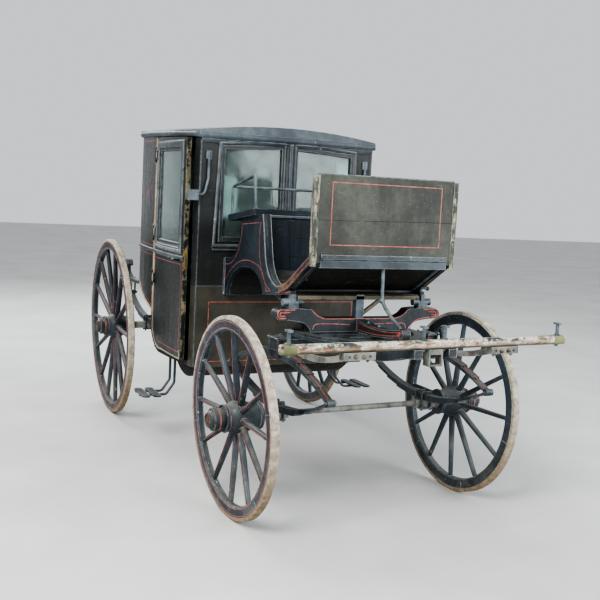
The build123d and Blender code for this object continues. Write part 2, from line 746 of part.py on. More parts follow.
def handle(x):
    """Spindle and bent lever of a left door's handle."""
    face_y = side_half_width(x)
    lever_y = face_y + HANDLE_REACH - HANDLE_R
    spindle_y = (face_y - HANDLE_SUNK + lever_y) / 2
    length = lever_y - face_y + HANDLE_SUNK
    spindle = Pos(x, spindle_y, HANDLE_Z) * Rot(90, 0, 0) * Cylinder(HANDLE_R - 1, length)
    points = [
        (x + 2 * HANDLE_R, lever_y, HANDLE_Z),
        (x - HANDLE_LENGTH * 0.45, lever_y, HANDLE_Z),
        (x - HANDLE_LENGTH, lever_y - HANDLE_R, HANDLE_Z - HANDLE_DROP),
    ]
    return spindle + rod(points, HANDLE_R, 30)


def door_glass(side):
    """Pane held in the middle of the door's thickness."""
    pane = wall_sheet(WALL / 2 - GLASS_T / 2, WALL / 2 + GLASS_T / 2, SILL_Z, HIGH) & door_window()
    return pane if side > 0 else mirrored(pane)


def fixed_glass():
    """Front panes and the back pane."""
    middle = FRONT_X - WALL / 2
    panes = [along(pane_face(side), middle - GLASS_T / 2, middle + GLASS_T / 2) for side in (1, -1)]
    sheet = wall_sheet(WALL / 2 - GLASS_T / 2, WALL / 2 + GLASS_T / 2, SILL_Z, HIGH)
    panes.append(sheet & along(back_pane_face(), REAR_MOST - 20, BACK_X + WALL + 60))
    return Compound(children=panes)


def seat_cushion():
    """Passengers' cushion on the seat board."""
    rear = BACK_X + WALL + LINING_T + BACKREST_T + 6
    plan = Pos((SEAT_X + rear) / 2, 0) * Rectangle(SEAT_X - rear, 2 * WIDE)
    inside = offset(PLAN, amount=-WALL - LINING_T) & plan
    return extrude(Pos(0, 0, SEAT_Z + SOFT_GAP) * inside, amount=CUSHION_T)


def seat_backrest():
    """Padded back along the rear wall."""
    low = SEAT_Z + SOFT_GAP
    rear = BACK_X + WALL + LINING_T
    half = BACK_HALF + BACKREST_LAP
    return block((rear, rear + BACKREST_T), (-half, half), (low, low + BACKREST_HEIGHT))


# Driver's boot

def sloped_z(line, x):
    """Height at a place on a straight line given by two (x, z) points."""
    (x_a, z_a), (x_b, z_b) = line
    return z_a + (z_b - z_a) * (x - x_a) / (x_b - x_a)


BOOT_LINE = (BOOT_REAR, BOOT_TOE)
SEAT_LINE = (SEAT_BOARD_REAR, SEAT_BOARD_FRONT)


def arch_face(grow):
    """The wheel arch, a flat ellipse lying along the boot's sloping bottom."""
    slope = math.atan2(BOOT_TOE[1] - BOOT_REAR[1], BOOT_TOE[0] - BOOT_REAR[0])
    place = Pos(ARCH_X, sloped_z(BOOT_LINE, ARCH_X)) * Rot(0, 0, math.degrees(slope))
    return place * Ellipse(ARCH_HALF + grow, ARCH_RISE + grow)


def boot_side(side):
    """Side of the boot with its neck and the arch that the front wheel passes under."""
    toe_x, toe_z = BOOT_TOE
    face = outline(
        BOOT_REAR,
        BOOT_TOE,
        (toe_x, toe_z + BOOT_TOE_HEIGHT),
        (toe_x - BOOT_TOE_LENGTH, toe_z + BOOT_TOE_HEIGHT),
        BOOT_FRONT_LOW,
        (BOOT_NECK_BULGE, BOOT_NECK_LOW),
        (BOOT_NECK_FRONT_X, sloped_z(SEAT_LINE, BOOT_NECK_FRONT_X)),
        (BOOT_NECK_X, sloped_z(SEAT_LINE, BOOT_NECK_X)),
        (BOOT_BACK_BULGE, (BOOT_REAR[0], BOOT_SHOULDER_Z)),
    )
    low = BOOT_HALF - BOOT_PANEL if side > 0 else -BOOT_HALF
    return across(face, low, low + BOOT_PANEL) - across(arch_face(0), -BOOT_HALF - 1, BOOT_HALF + 1)


def boot_box():
    """Wheel arch skin, plank front under the seat and toe floor between the sides."""
    inner = BOOT_HALF - BOOT_PANEL
    toe_x, toe_z = BOOT_TOE
    arch = across(arch_face(0), -BOOT_HALF, BOOT_HALF)
    under = outline(
        (BOOT_REAR[0] - 50, sloped_z(BOOT_LINE, BOOT_REAR[0] - 50)),
        BOOT_TOE,
        (toe_x, toe_z - ARCH_HALF),
        (BOOT_REAR[0] - 50, toe_z - ARCH_HALF),
    )
    skin = across(arch_face(ARCH_SKIN), -inner, inner) - across(under, -inner - 1, inner + 1)
    wall_x = BOOT_NECK_FRONT_X - BOOT_WALL_BACK
    back_x = wall_x - BOOT_PANEL
    wall_low = sloped_z(BOOT_LINE, wall_x) + ARCH_RISE / 2
    wall = outline(
        (wall_x, wall_low),
        (wall_x, sloped_z(SEAT_LINE, wall_x)),
        (back_x, sloped_z(SEAT_LINE, back_x)),
        (back_x, wall_low),
    )
    start_x = ARCH_X + ARCH_HALF - BOOT_PANEL
    full, taper, rise = BOOT_FLOOR_TAPER
    full_x = ARCH_X + ARCH_HALF + full
    floor = outline(
        (start_x, sloped_z(BOOT_LINE, start_x)),
        BOOT_TOE,
        (toe_x - taper, toe_z + rise),
        (full_x, sloped_z(BOOT_LINE, full_x) + BOOT_PANEL),
        (start_x, sloped_z(BOOT_LINE, start_x) + BOOT_PANEL),
    )
    return skin + across(wall, -inner, inner) + across(floor, -inner, inner) - arch


def seat_board():
    """Driver's seat board, higher at its front edge."""
    front_x, front_z = SEAT_BOARD_FRONT
    rear_x, rear_z = SEAT_BOARD_REAR
    face = outline(
        SEAT_BOARD_REAR,
        SEAT_BOARD_FRONT,
        (front_x, front_z + SEAT_BOARD_THICK),
        (rear_x, rear_z + SEAT_BOARD_THICK),
    )
    board = across(face, -SEAT_BOARD_HALF, SEAT_BOARD_HALF)
    return fillet(board.edges().filter_by(Axis.Z), SEAT_BOARD_CORNER)


def seat_rail():
    """Iron rail round the driver's seat."""
    y = SEAT_BOARD_HALF - RAIL_INSET
    front_x = SEAT_BOARD_FRONT[0] - RAIL_FRONT
    rear_x = SEAT_BOARD_REAR[0] + RAIL_REAR
    base = sloped_z(SEAT_LINE, front_x) + SEAT_BOARD_THICK
    points = [
        (front_x, -y, base),
        (front_x - RAIL_LEAN, -y, base + RAIL_HEIGHT),
        (rear_x, -y, RAIL_REAR_Z),
        (rear_x, y, RAIL_REAR_Z),
        (front_x - RAIL_LEAN, y, base + RAIL_HEIGHT),
        (front_x, y, base),
    ]
    rail = rod(points, RAIL_R, 3 * RAIL_R)
    foot = sloped_z(SEAT_LINE, rear_x) + SEAT_BOARD_THICK
    for side in (1, -1):
        post = Cylinder(RAIL_R, RAIL_REAR_Z - foot)
        rail += Pos(rear_x, side * y, (foot + RAIL_REAR_Z) / 2) * post
    return rail - seat_board()


def footboard():
    """Sloping board from the toe up to the dash."""
    low = (BOOT_TOE[0] - 80, BOOT_TOE[1] + BOOT_TOE_HEIGHT)
    high = (DASH_X, DASH_Z[0] + 6)
    slope = math.atan2(high[1] - low[1], high[0] - low[0])
    lift = FOOTBOARD_T / math.cos(slope)
    face = outline(low, high, (high[0], high[1] + lift), (low[0], low[1] + lift))
    return across(face, -DASH_HALF, DASH_HALF)


def dash():
    """Upright board with a post at each end."""
    low, high = DASH_Z
    depth, width = DASH_POST
    pieces = [block((DASH_X, DASH_X + DASH_T), (-DASH_HALF, DASH_HALF), (low, high))]
    for side in (1, -1):
        y_range = sorted((side * DASH_HALF, side * (DASH_HALF + width)))
        pieces.append(block((DASH_X - 3, DASH_X - 3 + depth), y_range, (low - 16, high - 6)))
    return Compound(children=pieces)


# Irons between the boot, the bolster and the rear springs

def boot_irons(neighbours):
    """Bolted brackets at the bolster's ends, the middle post and the curved stay of the dash."""
    pieces = []
    for side in (1, -1):
        y_mid = side * (BOOT_HALF - BOOT_PANEL / 2)
        pin_z = (BOLSTER_END_Z + sloped_z(BOOT_LINE, 0)) / 2 - 3
        barrel = Pos(0, y_mid, pin_z) * Rot(90, 0, 0) * Cylinder(BRACKET_R, BRACKET_LENGTH)
        lug = under_boot(BRACKET_R + 3, y_mid - BOOT_PANEL / 2, y_mid + BOOT_PANEL / 2, pin_z)
        foot_low = BOLSTER_END_Z - BRACKET_FOOT[2]
        foot = Pos(0, y_mid, (foot_low + pin_z) / 2) * Box(*BRACKET_FOOT[:2], pin_z - foot_low)
        pieces.append(barrel + lug + foot)
    post_x, post_y = POST_SECTION
    pieces.append(under_boot(post_x / 2, -post_y / 2, post_y / 2, BOLSTER_VALLEY_Z - 30))
    stay_x = DASH_X + DASH_T / 2
    stay = [
        (stay_x, 0, DASH_Z[0]),
        (stay_x + 6, 0, STAY_KNEE_Z),
        (ARM_REACH - 150, 0, STAY_KNEE_Z - 60),
        (ARM_REACH - 52, 0, BOLSTER_VALLEY_Z + 2),
    ]
    bent = rod(stay, STAY_R, 10 * STAY_R)
    bent += Pos(stay_x + 6, 0, STAY_KNEE_Z + 10) * Sphere(STAY_BOSS_R)
    pieces.append(bent)
    return Compound(children=[seated(piece, neighbours) for piece in pieces])


def under_boot(half_x, y_low, y_high, z_low):
    """An upright standing just clear of the boot's sloping bottom."""
    left_z, right_z = [sloped_z(BOOT_LINE, x) - SEAT_GAP for x in (-half_x, half_x)]
    face = outline((-half_x, z_low), (half_x, z_low), (half_x, right_z), (-half_x, left_z))
    return across(face, y_low, y_high)


def seated(piece, neighbours):
    """A piece cut to fit against what it stands on."""
    for neighbour in neighbours:
        piece = piece - neighbour
    return piece


def rear_irons(eyes, base_z, under_body):
    """Long irons under the body's rear with scrolled ends, the front hangers and the shackles."""
    front_eye = (eyes[0][0] - WHEELBASE, eyes[0][1] + base_z)
    rear_eye = (eyes[1][0] - WHEELBASE, eyes[1][1] + base_z)
    axle_x = -WHEELBASE
    tail_x = axle_x - IRON_TAIL
    iron_path = [
        (front_eye[0] - IRON_W / 2, 0, IRON_LEVEL - 60),
        (axle_x + 142, 0, IRON_LEVEL),
        (axle_x - 68, 0, IRON_SADDLE),
        (axle_x - 298, 0, IRON_LEVEL + 2),
        (tail_x + 130, 0, IRON_LEVEL),
        (tail_x, 0, IRON_LEVEL + 46),
        (tail_x - 6, 0, IRON_LEVEL + 120),
        (tail_x + 50, 0, IRON_LEVEL + IRON_SCROLL),
        (tail_x + 80, 0, IRON_LEVEL + 106),
    ]
    iron = strap(iron_path, IRON_BEND, (IRON_W, IRON_T))
    cheek_half = LEAF_W / 2 + 1
    hanger = pinned_cheeks(front_eye, QUARTER_HINGE_Z + 60, EYE_R, cheek_half)
    shackle = pinned_cheeks(rear_eye, IRON_LEVEL + 14, EYE_R, cheek_half)
    pieces = []
    for side in (1, -1):
        for piece in (iron, hanger, shackle):
            pieces.append(seated(Pos(0, side * REAR_SPRING_Y, 0) * piece, under_body))
    return Compound(children=pieces)


# Small irons on the cabin

def lamp_irons():
    """Bent irons on the front posts, each with a square lamp socket."""
    pieces = []
    front = FRONT_X + 8
    for side in (1, -1):
        points = [
            (front, side * LAMP_IRON_Y, LAMP_IRON_Z),
            (front, side * LAMP_IRON_Y, LAMP_BEND_Z),
            (front + 6, side * (LAMP_IRON_Y + 22), LAMP_SOCKET_Z + 6),
            (front + 12, side * (LAMP_SOCKET_Y - 24), LAMP_SOCKET_Z),
        ]
        bent = rod(points, LAMP_IRON_R, 34)
        pad_y = (side * LAMP_IRON_Y - LAMP_PAD[0] / 2, side * LAMP_IRON_Y + LAMP_PAD[0] / 2)
        pad = block((FRONT_X, FRONT_X + LAMP_PAD[2]), pad_y, (LAMP_IRON_Z - LAMP_PAD[1], LAMP_IRON_Z))
        width, height = LAMP_SOCKET
        depth = LAMP_SOCKET_DEPTH
        wall = LAMP_SOCKET_WALL
        centre = Pos(front + 12, side * LAMP_SOCKET_Y, LAMP_SOCKET_Z)
        hollow = centre * Box(depth - 2 * wall, width - 2 * wall, height + 2)
        pieces.append(bent + pad + centre * Box(depth, width, height) - hollow)
    return Compound(children=pieces)


def steps():
    """Two-bar step plates below the doors, on bent rods from the floor."""
    length, width = STEP_SIZE
    bar_width = width * STEP_BAR_SHARE
    pieces = []
    for side in (1, -1):
        treads = []
        for edge in (-1, 1):
            y = side * STEP_Y + edge * (width - bar_width) / 2
            bar = extrude(SlotOverall(length, bar_width), amount=STEP_BAR_T / 2, both=True)
            treads.append(Pos(STEP_X, y, STEP_Z) * bar)
        joined = treads[0] + treads[1]
        low = STEP_Z - STEP_BAR_T / 2 - STEP_TIE[1] / 2
        inner_y = STEP_Y - width / 2
        for x in (STEP_X - length * 0.3, STEP_X + length * 0.12):
            joined += Pos(x, side * STEP_Y, low) * Box(STEP_TIE[0], width, STEP_TIE[1])
            top_x = x - STEP_RAKE
            hanger = [
                (top_x, side * STEP_HANGER_Y, SILL_Z),
                (top_x, side * STEP_HANGER_Y, STEP_Z + 60),
                (x, side * (inner_y - 50), low),
                (x, side * (inner_y + 8), low),
            ]
            joined += rod(hanger, STEP_ROD_R, 30)
        pieces.append(joined)
    return Compound(children=pieces)


# Build, name and place every piece

def forecarriage():
    """Everything that turns with the pole, straight ahead."""
    pieces = {}
    beam, axle_top = axle("front")
    pieces["front_axle"] = beam
    leaves, eyes = half_spring(FRONT_SPRING_RISE, FRONT_SPRING_HALF, FRONT_SPRING_HALF)
    stack = LEAVES * LEAF_T
    eye_z = eyes[0][1]
    bed_low = axle_top + 2 * eye_z
    for side, name in ((1, "left"), (-1, "right")):
        lower = [Pos(0, side * FRONT_SPRING_Y, axle_top) * leaf for leaf in leaves]
        upper = [Pos(0, side * FRONT_SPRING_Y, bed_low) * Rot(180, 0, 0) * leaf for leaf in leaves]
        pieces["front_spring_" + name] = Compound(children=lower + upper)
    bed_half = FRONT_SPRING_Y + BED_OVERHANG
    bed_top = bed_low + BED_HEIGHT
    bed = block((-BED_WIDTH / 2, BED_WIDTH / 2), (-bed_half, bed_half), (bed_low, bed_top))
    pin_hole = Pos(0, 0, bed_low) * Cylinder(KINGPIN_R + KINGPIN_PLAY, 4 * BED_HEIGHT)
    bar_low = BAR_Z - BAR_SECTION / 2
    curve_x = BAR_X * 0.53
    futchell_face = outline(
        (-FUTCHELL_BACK, bed_top - FUTCHELL_T),
        (BED_WIDTH / 2, bed_low + 6),
        ((curve_x, bed_low - 4), (BAR_X - FUTCHELL_SEAT, bar_low - FUTCHELL_NOSE - 10)),
        (BAR_X + BAR_SECTION / 2, bar_low - FUTCHELL_NOSE),
        (BAR_X + BAR_SECTION / 2, bar_low),
        (BAR_X - FUTCHELL_SEAT, bar_low),
        ((curve_x, bed_top - 6), (BED_WIDTH / 2, bed_top)),
        (-FUTCHELL_BACK, bed_top),
    )
    futchells = []
    for side in (1, -1):
        y_low = side * FUTCHELL_Y - FUTCHELL_T / 2
        futchells.append(across(futchell_face, y_low, y_low + FUTCHELL_T))
    pieces["futchells"] = Compound(children=futchells)
    bed -= pin_hole
    for timber in futchells:
        bed -= timber
    pieces["forecarriage_bed"] = bed
    pieces["turntable_lower"] = ring_and_bridge(bed_top) - pin_hole
    timber = extrude(RectangleRounded(BAR_SECTION, BAR_SECTION, BAR_ROUND), amount=BAR_HALF, both=True)
    bar = Pos(BAR_X, 0, BAR_Z) * Rot(90, 0, 0) * timber
    pins = []
    for y in (-PIN_OUTER_Y, -PIN_INNER_Y, PIN_INNER_Y, PIN_OUTER_Y):
        shank_low = bar_low - 10
        shank = Pos(BAR_X, y, (shank_low + PIN_TOP_Z - 2) / 2) * Cylinder(PIN_R, PIN_TOP_Z - 2 - shank_low)
        cap = Pos(BAR_X, y, PIN_TOP_Z - PIN_CAP[2] / 2) * Box(*PIN_CAP)
        bar -= shank
        pins.append(shank + cap)
    pieces["splinter_bar"] = bar
    pieces["bar_pins"] = Compound(children=pins)
    width, height = POLE_SOCKET
    thick = POLE_SOCKET_T
    hoop_height = POLE_SOCKET_TOP + height + thick
    hoop = Pos(BAR_X, 0, bar_low - hoop_height / 2) * Box(POLE_SOCKET_LENGTH, width + 2 * thick, hoop_height)
    hoop -= Pos(BAR_X, 0, bar_low - POLE_SOCKET_TOP - height / 2) * Box(POLE_SOCKET_LENGTH + 2, width, height)
    pieces["bar_irons"] = Compound(children=[hoop] + bar_stays(bed_low, bar_low))
    return pieces, bed_top + RING_T, bed_low


def bar_stays(bed_low, bar_low):
    """Curved irons from the ends of the bed to clamps under the splinter bar."""
    front = BAR_X + BAR_SECTION / 2
    curve_x = BAR_X * 0.56
    top = bed_low + BAR_STAY_DEPTH
    face = outline(
        (BED_WIDTH / 2, bed_low + 4),
        ((curve_x, bed_low + 2), (BAR_X - 40, bar_low - BAR_CLAMP[1])),
        (BAR_X, bar_low - BAR_CLAMP[1]),
        (BAR_X, bar_low),
        (BAR_X - 40, bar_low),
        ((curve_x, top), (BED_WIDTH / 2, top + 4)),
    )
    stays = []
    for side in (1, -1):
        y_mid = side * BAR_STAY_Y
        stay = across(face, y_mid - BAR_STAY_T / 2, y_mid + BAR_STAY_T / 2)
        clamp = block(
            (front - BAR_SECTION, front),
            (y_mid - BAR_CLAMP[0] / 2, y_mid + BAR_CLAMP[0] / 2),
            (bar_low - BAR_CLAMP[1], bar_low),
        )
        stays.append(stay + clamp)
    return stays


def ring_and_bridge(low):
    """A turntable ring with the bar across it that carries the kingpin."""
    ring = extrude(Pos(0, 0, low) * (Circle(RING_R) - Circle(RING_R - RING_WIDTH)), amount=RING_T)
    half = RING_R - RING_LAP
    bridge = block((-RING_ARM_WIDTH / 2, RING_ARM_WIDTH / 2), (-half, half), (low, low + RING_T))
    return ring + bridge


def upper_turntable(ring_low, pin_low):
    """Upper ring and the kingpin, fixed under the bolster."""
    low = ring_low + RING_PLAY
    pin = Pos(0, 0, (pin_low - KINGPIN_END + low) / 2) * Cylinder(KINGPIN_R, low - pin_low + KINGPIN_END)
    nut_radius, nut_height, nut_gap = KINGPIN_NUT
    nut = Pos(0, 0, pin_low - nut_gap - nut_height / 2) * Cylinder(nut_radius, nut_height)
    return ring_and_bridge(low) + pin + nut, low + RING_T


def bolster(low):
    """Carved upper bed with scrolled ends and a forward arm."""
    half = BOLSTER_HALF
    end_z = BOLSTER_END_Z
    valley = BOLSTER_VALLEY_Z

    nose_low = end_z - BOLSTER_NOSE

    def one_side(sign):
        return [
            (sign * (RING_R - 60), low),
            (sign * (half - 166), nose_low - 28),
            (sign * (half - 126), nose_low - 11),
            (sign * (half - 70), nose_low - 3),
            (sign * (half - 14), nose_low),
            (sign * half, (nose_low + end_z) / 2 + 3),
            (sign * (half - 34), end_z),
            (sign * (half - 117), end_z + 5),
            (sign * (half - 195), end_z - 2),
            (sign * (half - 219), end_z - 27),
            (sign * (half - 258), valley),
        ]

    right = one_side(-1)
    left = one_side(1)
    steps = [(right[at], right[at + 1]) for at in (1, 3, 5, 7, 9)] + [left[10]]
    steps += [(left[at], left[at - 1]) for at in (9, 7, 5, 3, 1)]
    face = outline(right[0], *steps)
    bed = along(face, -BOLSTER_T / 2, BOLSTER_T / 2)
    arm_face = outline(
        (BOLSTER_T / 2, low),
        ((ARM_REACH * 0.55, low + 10), (ARM_REACH - 40, valley - 34)),
        ((ARM_REACH + 4, valley - 22), (ARM_REACH - 30, valley + 6)),
        ((ARM_REACH * 0.5, valley - 18), (BOLSTER_T / 2, valley - 4)),
    )
    arm = across(arm_face, -ARM_T / 2, ARM_T / 2)
    return bed + arm


def build():
    """All pieces by name, each in its place round the kingpin."""
    fore, ring_top, bed_low = forecarriage()
    pieces = {}
    for kind in ("front", "rear"):
        for side, name in ((1, "left"), (-1, "right")):
            rubber, wood = wheel(kind, side)
            where = fore if kind == "front" else pieces
            where["tyre_" + kind + "_" + name] = rubber
            where["wheel_" + kind + "_" + name] = wood
    for name, shape in fore.items():
        pieces[name] = Rot(0, 0, STEER_REST) * shape
    table, table_top = upper_turntable(ring_top, bed_low)
    pieces["turntable_upper"] = table
    pieces["bolster"] = bolster(table_top)

    beam, axle_top = axle("rear")
    pieces["rear_axle"] = beam
    leaves, eyes = half_spring(REAR_SPRING_RISE, REAR_SPRING_AHEAD, REAR_SPRING_BACK)
    packs = []
    ties = u_bolts(AXLE_SIDE / 2 + CLIP_R + 1, LEAVES * LEAF_T + CLIP_R + 0.6, -AXLE_SIDE, LEAF_W / 2 + 16)
    for leaf in leaves:
        ties -= leaf
    for side in (1, -1):
        packs += [Pos(-WHEELBASE, side * REAR_SPRING_Y, axle_top) * solid for solid in leaves + [ties]]
    pieces["rear_springs"] = Compound(children=packs)

    pieces["cabin_front"] = cabin_front()
    pieces["cabin_back"] = cabin_back()
    pieces["cabin_floor"] = cabin_floor()
    pieces["roof"] = roof()
    pieces["fixed_glass"] = fixed_glass()
    pieces["seat_cushion"] = seat_cushion()
    pieces["seat_backrest"] = seat_backrest()
    pin_x, pin_y = hinge_axis()
    for side, name in ((1, "left"), (-1, "right")):
        pieces["cabin_quarter_" + name] = quarter(side)
        ajar = 0 if side > 0 else -DOOR_AJAR
        swing = Pos(pin_x, side * pin_y, 0) * Rot(0, 0, ajar) * Pos(-pin_x, -side * pin_y, 0)
        pieces["door_" + name] = swing * door(side)
        pieces["door_glass_" + name] = swing * door_glass(side)

    for side, name in ((1, "left"), (-1, "right")):
        pieces["boot_side_" + name] = boot_side(side)
    pieces["boot_box"] = boot_box()
    pieces["seat_board"] = seat_board()
    pieces["seat_rail"] = seat_rail()
    pieces["footboard"] = footboard()
    pieces["dash"] = dash()
    touching = ("bolster", "dash", "footboard")
    pieces["boot_irons"] = boot_irons([pieces[name] for name in touching])
    under_body = [pieces["cabin_floor"], pieces["cabin_back"]]
    under_body += [pieces["cabin_quarter_left"], pieces["cabin_quarter_right"]]
    pieces["rear_irons"] = rear_irons(eyes, axle_top, under_body)
    pieces["lamp_irons"] = lamp_irons()
    pieces["steps"] = steps()
    return pieces


PIECES = build()
BOXES = [piece.bounding_box() for piece in PIECES.values()]
MIDDLE_X = (min(box.min.X for box in BOXES) + max(box.max.X for box in BOXES)) / 2
SHIFT = (-MIDDLE_X, 0, -min(box.min.Z for box in BOXES))
os.makedirs("parts", exist_ok=True)
for piece_name, piece in PIECES.items():
    export_step(Pos(*SHIFT) * piece, "parts/" + piece_name + ".step")
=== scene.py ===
import math

import bmesh
import bpy
from mathutils import Matrix, Vector, noise
from mathutils.bvhtree import BVHTree


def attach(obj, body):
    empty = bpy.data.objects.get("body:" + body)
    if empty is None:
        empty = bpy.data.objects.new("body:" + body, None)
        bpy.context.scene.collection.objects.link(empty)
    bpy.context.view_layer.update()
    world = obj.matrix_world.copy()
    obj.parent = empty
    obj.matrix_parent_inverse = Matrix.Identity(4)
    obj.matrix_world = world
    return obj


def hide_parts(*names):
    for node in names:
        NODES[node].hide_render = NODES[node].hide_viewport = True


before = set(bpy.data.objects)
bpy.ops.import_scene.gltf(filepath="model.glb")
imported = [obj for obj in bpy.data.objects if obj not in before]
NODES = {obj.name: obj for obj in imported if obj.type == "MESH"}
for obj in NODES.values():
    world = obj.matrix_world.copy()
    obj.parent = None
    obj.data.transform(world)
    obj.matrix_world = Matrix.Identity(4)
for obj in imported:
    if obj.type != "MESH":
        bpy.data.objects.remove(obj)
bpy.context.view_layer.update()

# Lengths and places are in millimetres from the kingpin, as in the part, until at() moves them
KINGPIN = Vector((1.099543, 0, -0.000165))
STEER = 3.3
AJAR = 4.5
CAMBER = math.radians(1.6)
WHEELS = {
    "front": {"x": 0, "radius": 500, "spokes": 12, "nose": 127, "half_track": 681.5, "height": 500.4},
    "rear": {"x": -2262, "radius": 608, "spokes": 14, "nose": 100, "half_track": 765.5, "height": 608.3},
}
TYRE_DEPTH, FELLOE_DEPTH = 18, 54
FRONT_X = -1000
CORNER = (-2240, 582)
CORNER_MIDDLE = (-2332, 536)
BACK = (-2372, 430)
BACK_MIDDLE = (-2386, 0)
HINGE_X = -1700
DOOR_FRONT_X = -1069
ROOF_Z = 1900
ROOF_SLOPE = math.tan(math.radians(1.6))
AXLE_TOP = {"front": 526.6, "rear": 634.6}
SPRING_Y = {"front": 446, "rear": 500}
BED = (829.1, 885.1)
PANE_LOW = 1300
BELT_Z = 1186
SEAT_TOP = 960.5
BAR_X, BAR_Z = 683, 956
BOLSTER_FACE, ARM_FACE = 35, 23
BOOT_FACE, RETURN_FACE = 385, 335
BOX_X, DASH_X = -491.8, 252
RAIL_Y, BRACKET_Y = 383, 352
SIDES = {"left": 1, "right": -1}
FORWARD, LEFT, UP = Vector((1, 0, 0)), Vector((0, 1, 0)), Vector((0, 0, 1))


def at(x, y, z):
    return Vector((x, y, z)) / 1000 + KINGPIN


def turn_about(point, degrees):
    spin = Matrix.Rotation(math.radians(degrees), 4, "Z")
    return Matrix.Translation(point) @ spin @ Matrix.Translation(-point)


# Plan of the cabin

def arc(start, middle, end, gap=18):
    """Points after start on the arc through middle to end, about gap apart."""
    (ax, ay), (bx, by), (cx, cy) = start, middle, end
    twice = 2 * (ax * (by - cy) + bx * (cy - ay) + cx * (ay - by))
    if abs(twice) < 1e-6:
        return [end]
    sa, sb, sc = ax * ax + ay * ay, bx * bx + by * by, cx * cx + cy * cy
    ux = (sa * (by - cy) + sb * (cy - ay) + sc * (ay - by)) / twice
    uy = (sa * (cx - bx) + sb * (ax - cx) + sc * (bx - ax)) / twice
    radius = math.hypot(ax - ux, ay - uy)
    first, mid, last = [math.atan2(y - uy, x - ux) for x, y in (start, middle, end)]
    sweep = (last - first) % (2 * math.pi)
    if (mid - first) % (2 * math.pi) > sweep:
        sweep -= 2 * math.pi
    count = max(4, math.ceil(abs(sweep) * radius / gap))
    return [
        (ux + radius * math.cos(first + sweep * k / count), uy + radius * math.sin(first + sweep * k / count))
        for k in range(1, count + 1)
    ]


def drawn(start, *steps, gap=18):
    """A flat line: each step is a point for a straight run, or (through, end) for an arc."""
    line = [start]
    for step in steps:
        if isinstance(step[0], tuple):
            line += arc(line[-1], step[0], step[1], gap)
        else:
            line.append(step)
    return line


SIDE_LINE = drawn((FRONT_X, 562), ((-1640, 625), CORNER), gap=10)


def read_off(line, x):
    """Second value of a line at a first value that falls along it; level beyond its ends."""
    for (xa, ya), (xb, yb) in zip(line, line[1:]):
        if xb <= x <= xa:
            return ya + (yb - ya) * (x - xa) / (xb - xa)
    return line[0][1] if x > line[0][0] else line[-1][1]


def side_y(x):
    """Outer half width of the cabin at a place along it."""
    return read_off(SIDE_LINE, x)


def finer(line, gap, closed=False):
    """The same line with points no further apart than gap."""
    out = []
    ends = line[1:] + line[:1] if closed else line[1:]
    for start, end in zip(line, ends):
        count = max(1, math.ceil(math.dist(start, end) / gap))
        for k in range(count):
            out.append(tuple(a + (b - a) * k / count for a, b in zip(start, end)))
    return out if closed else out + [line[-1]]


def inset(line, distance):
    """A closed flat line moved inward by a distance."""
    area = sum(a[0] * b[1] - b[0] * a[1] for a, b in zip(line, line[1:] + line[:1]))
    turn = 1 if area > 0 else -1
    moved = []
    for k, here in enumerate(line):
        before, after = line[k - 1], line[(k + 1) % len(line)]
        first = Vector((here[0] - before[0], here[1] - before[1])).normalized()
        second = Vector((after[0] - here[0], after[1] - here[1])).normalized()
        bisector = first + second
        if bisector.length < 1e-6:
            continue
        bisector.normalize()
        out = Vector((-bisector.y, bisector.x)) * turn
        reach = distance / max(0.45, bisector.dot(first))
        moved.append((here[0] + out.x * reach, here[1] + out.y * reach))
    return moved


def rectangle(half, low, high):
    return [(-half, low), (half, low), (half, high), (-half, high)]


def rounded(corners, radius):
    """A closed flat line through corners, each rounded."""
    line = []
    for k, here in enumerate(corners):
        point = Vector(here)
        back = Vector(corners[k - 1]) - point
        on = Vector(corners[(k + 1) % len(corners)]) - point
        half = back.angle(on) / 2
        reach = radius / math.tan(half)
        start = point + back.normalized() * reach
        end = point + on.normalized() * reach
        centre = point + (back.normalized() + on.normalized()).normalized() * (radius / math.sin(half))
        through = centre + (point - centre).normalized() * radius
        line.append(tuple(start))
        line += arc(tuple(start), tuple(through), tuple(end), 12)
    return line


def beside(line, k):
    """The neighbours of a point in an open line; at an end, the point itself."""
    return line[max(k - 1, 0)], line[min(k + 1, len(line) - 1)]


def circle(count):
    """Unit vectors round a circle."""
    angles = [2 * math.pi * k / count for k in range(count)]
    return [Vector((math.cos(angle), math.sin(angle), 0)) for angle in angles]


def smooth_line(points, per):
    """A smooth line through points, with so many steps between two of them."""
    line = []
    for k in range(len(points) - 1):
        p1, p2 = points[k], points[k + 1]
        p0, p3 = beside(points, k)[0], beside(points, k + 1)[1]
        for j in range(per):
            t = j / per
            line.append(tuple(
                b + 0.5 * t * (c - a + t * (2 * a - 5 * b + 4 * c - d + t * (3 * b - a - 3 * c + d)))
                for a, b, c, d in zip(p0, p1, p2, p3)
            ))
    return line + [points[-1]]


def spiral(middle, start_radius, end_radius, turns, start_angle, hand):
    points = []
    for k in range(int(turns * 18) + 1):
        share = k / (turns * 18)
        radius = start_radius + (end_radius - start_radius) * share
        angle = start_angle + hand * 2 * math.pi * turns * share
        points.append((middle[0] + radius * math.cos(angle), middle[1] + radius * math.sin(angle)))
    return points


# Meshes

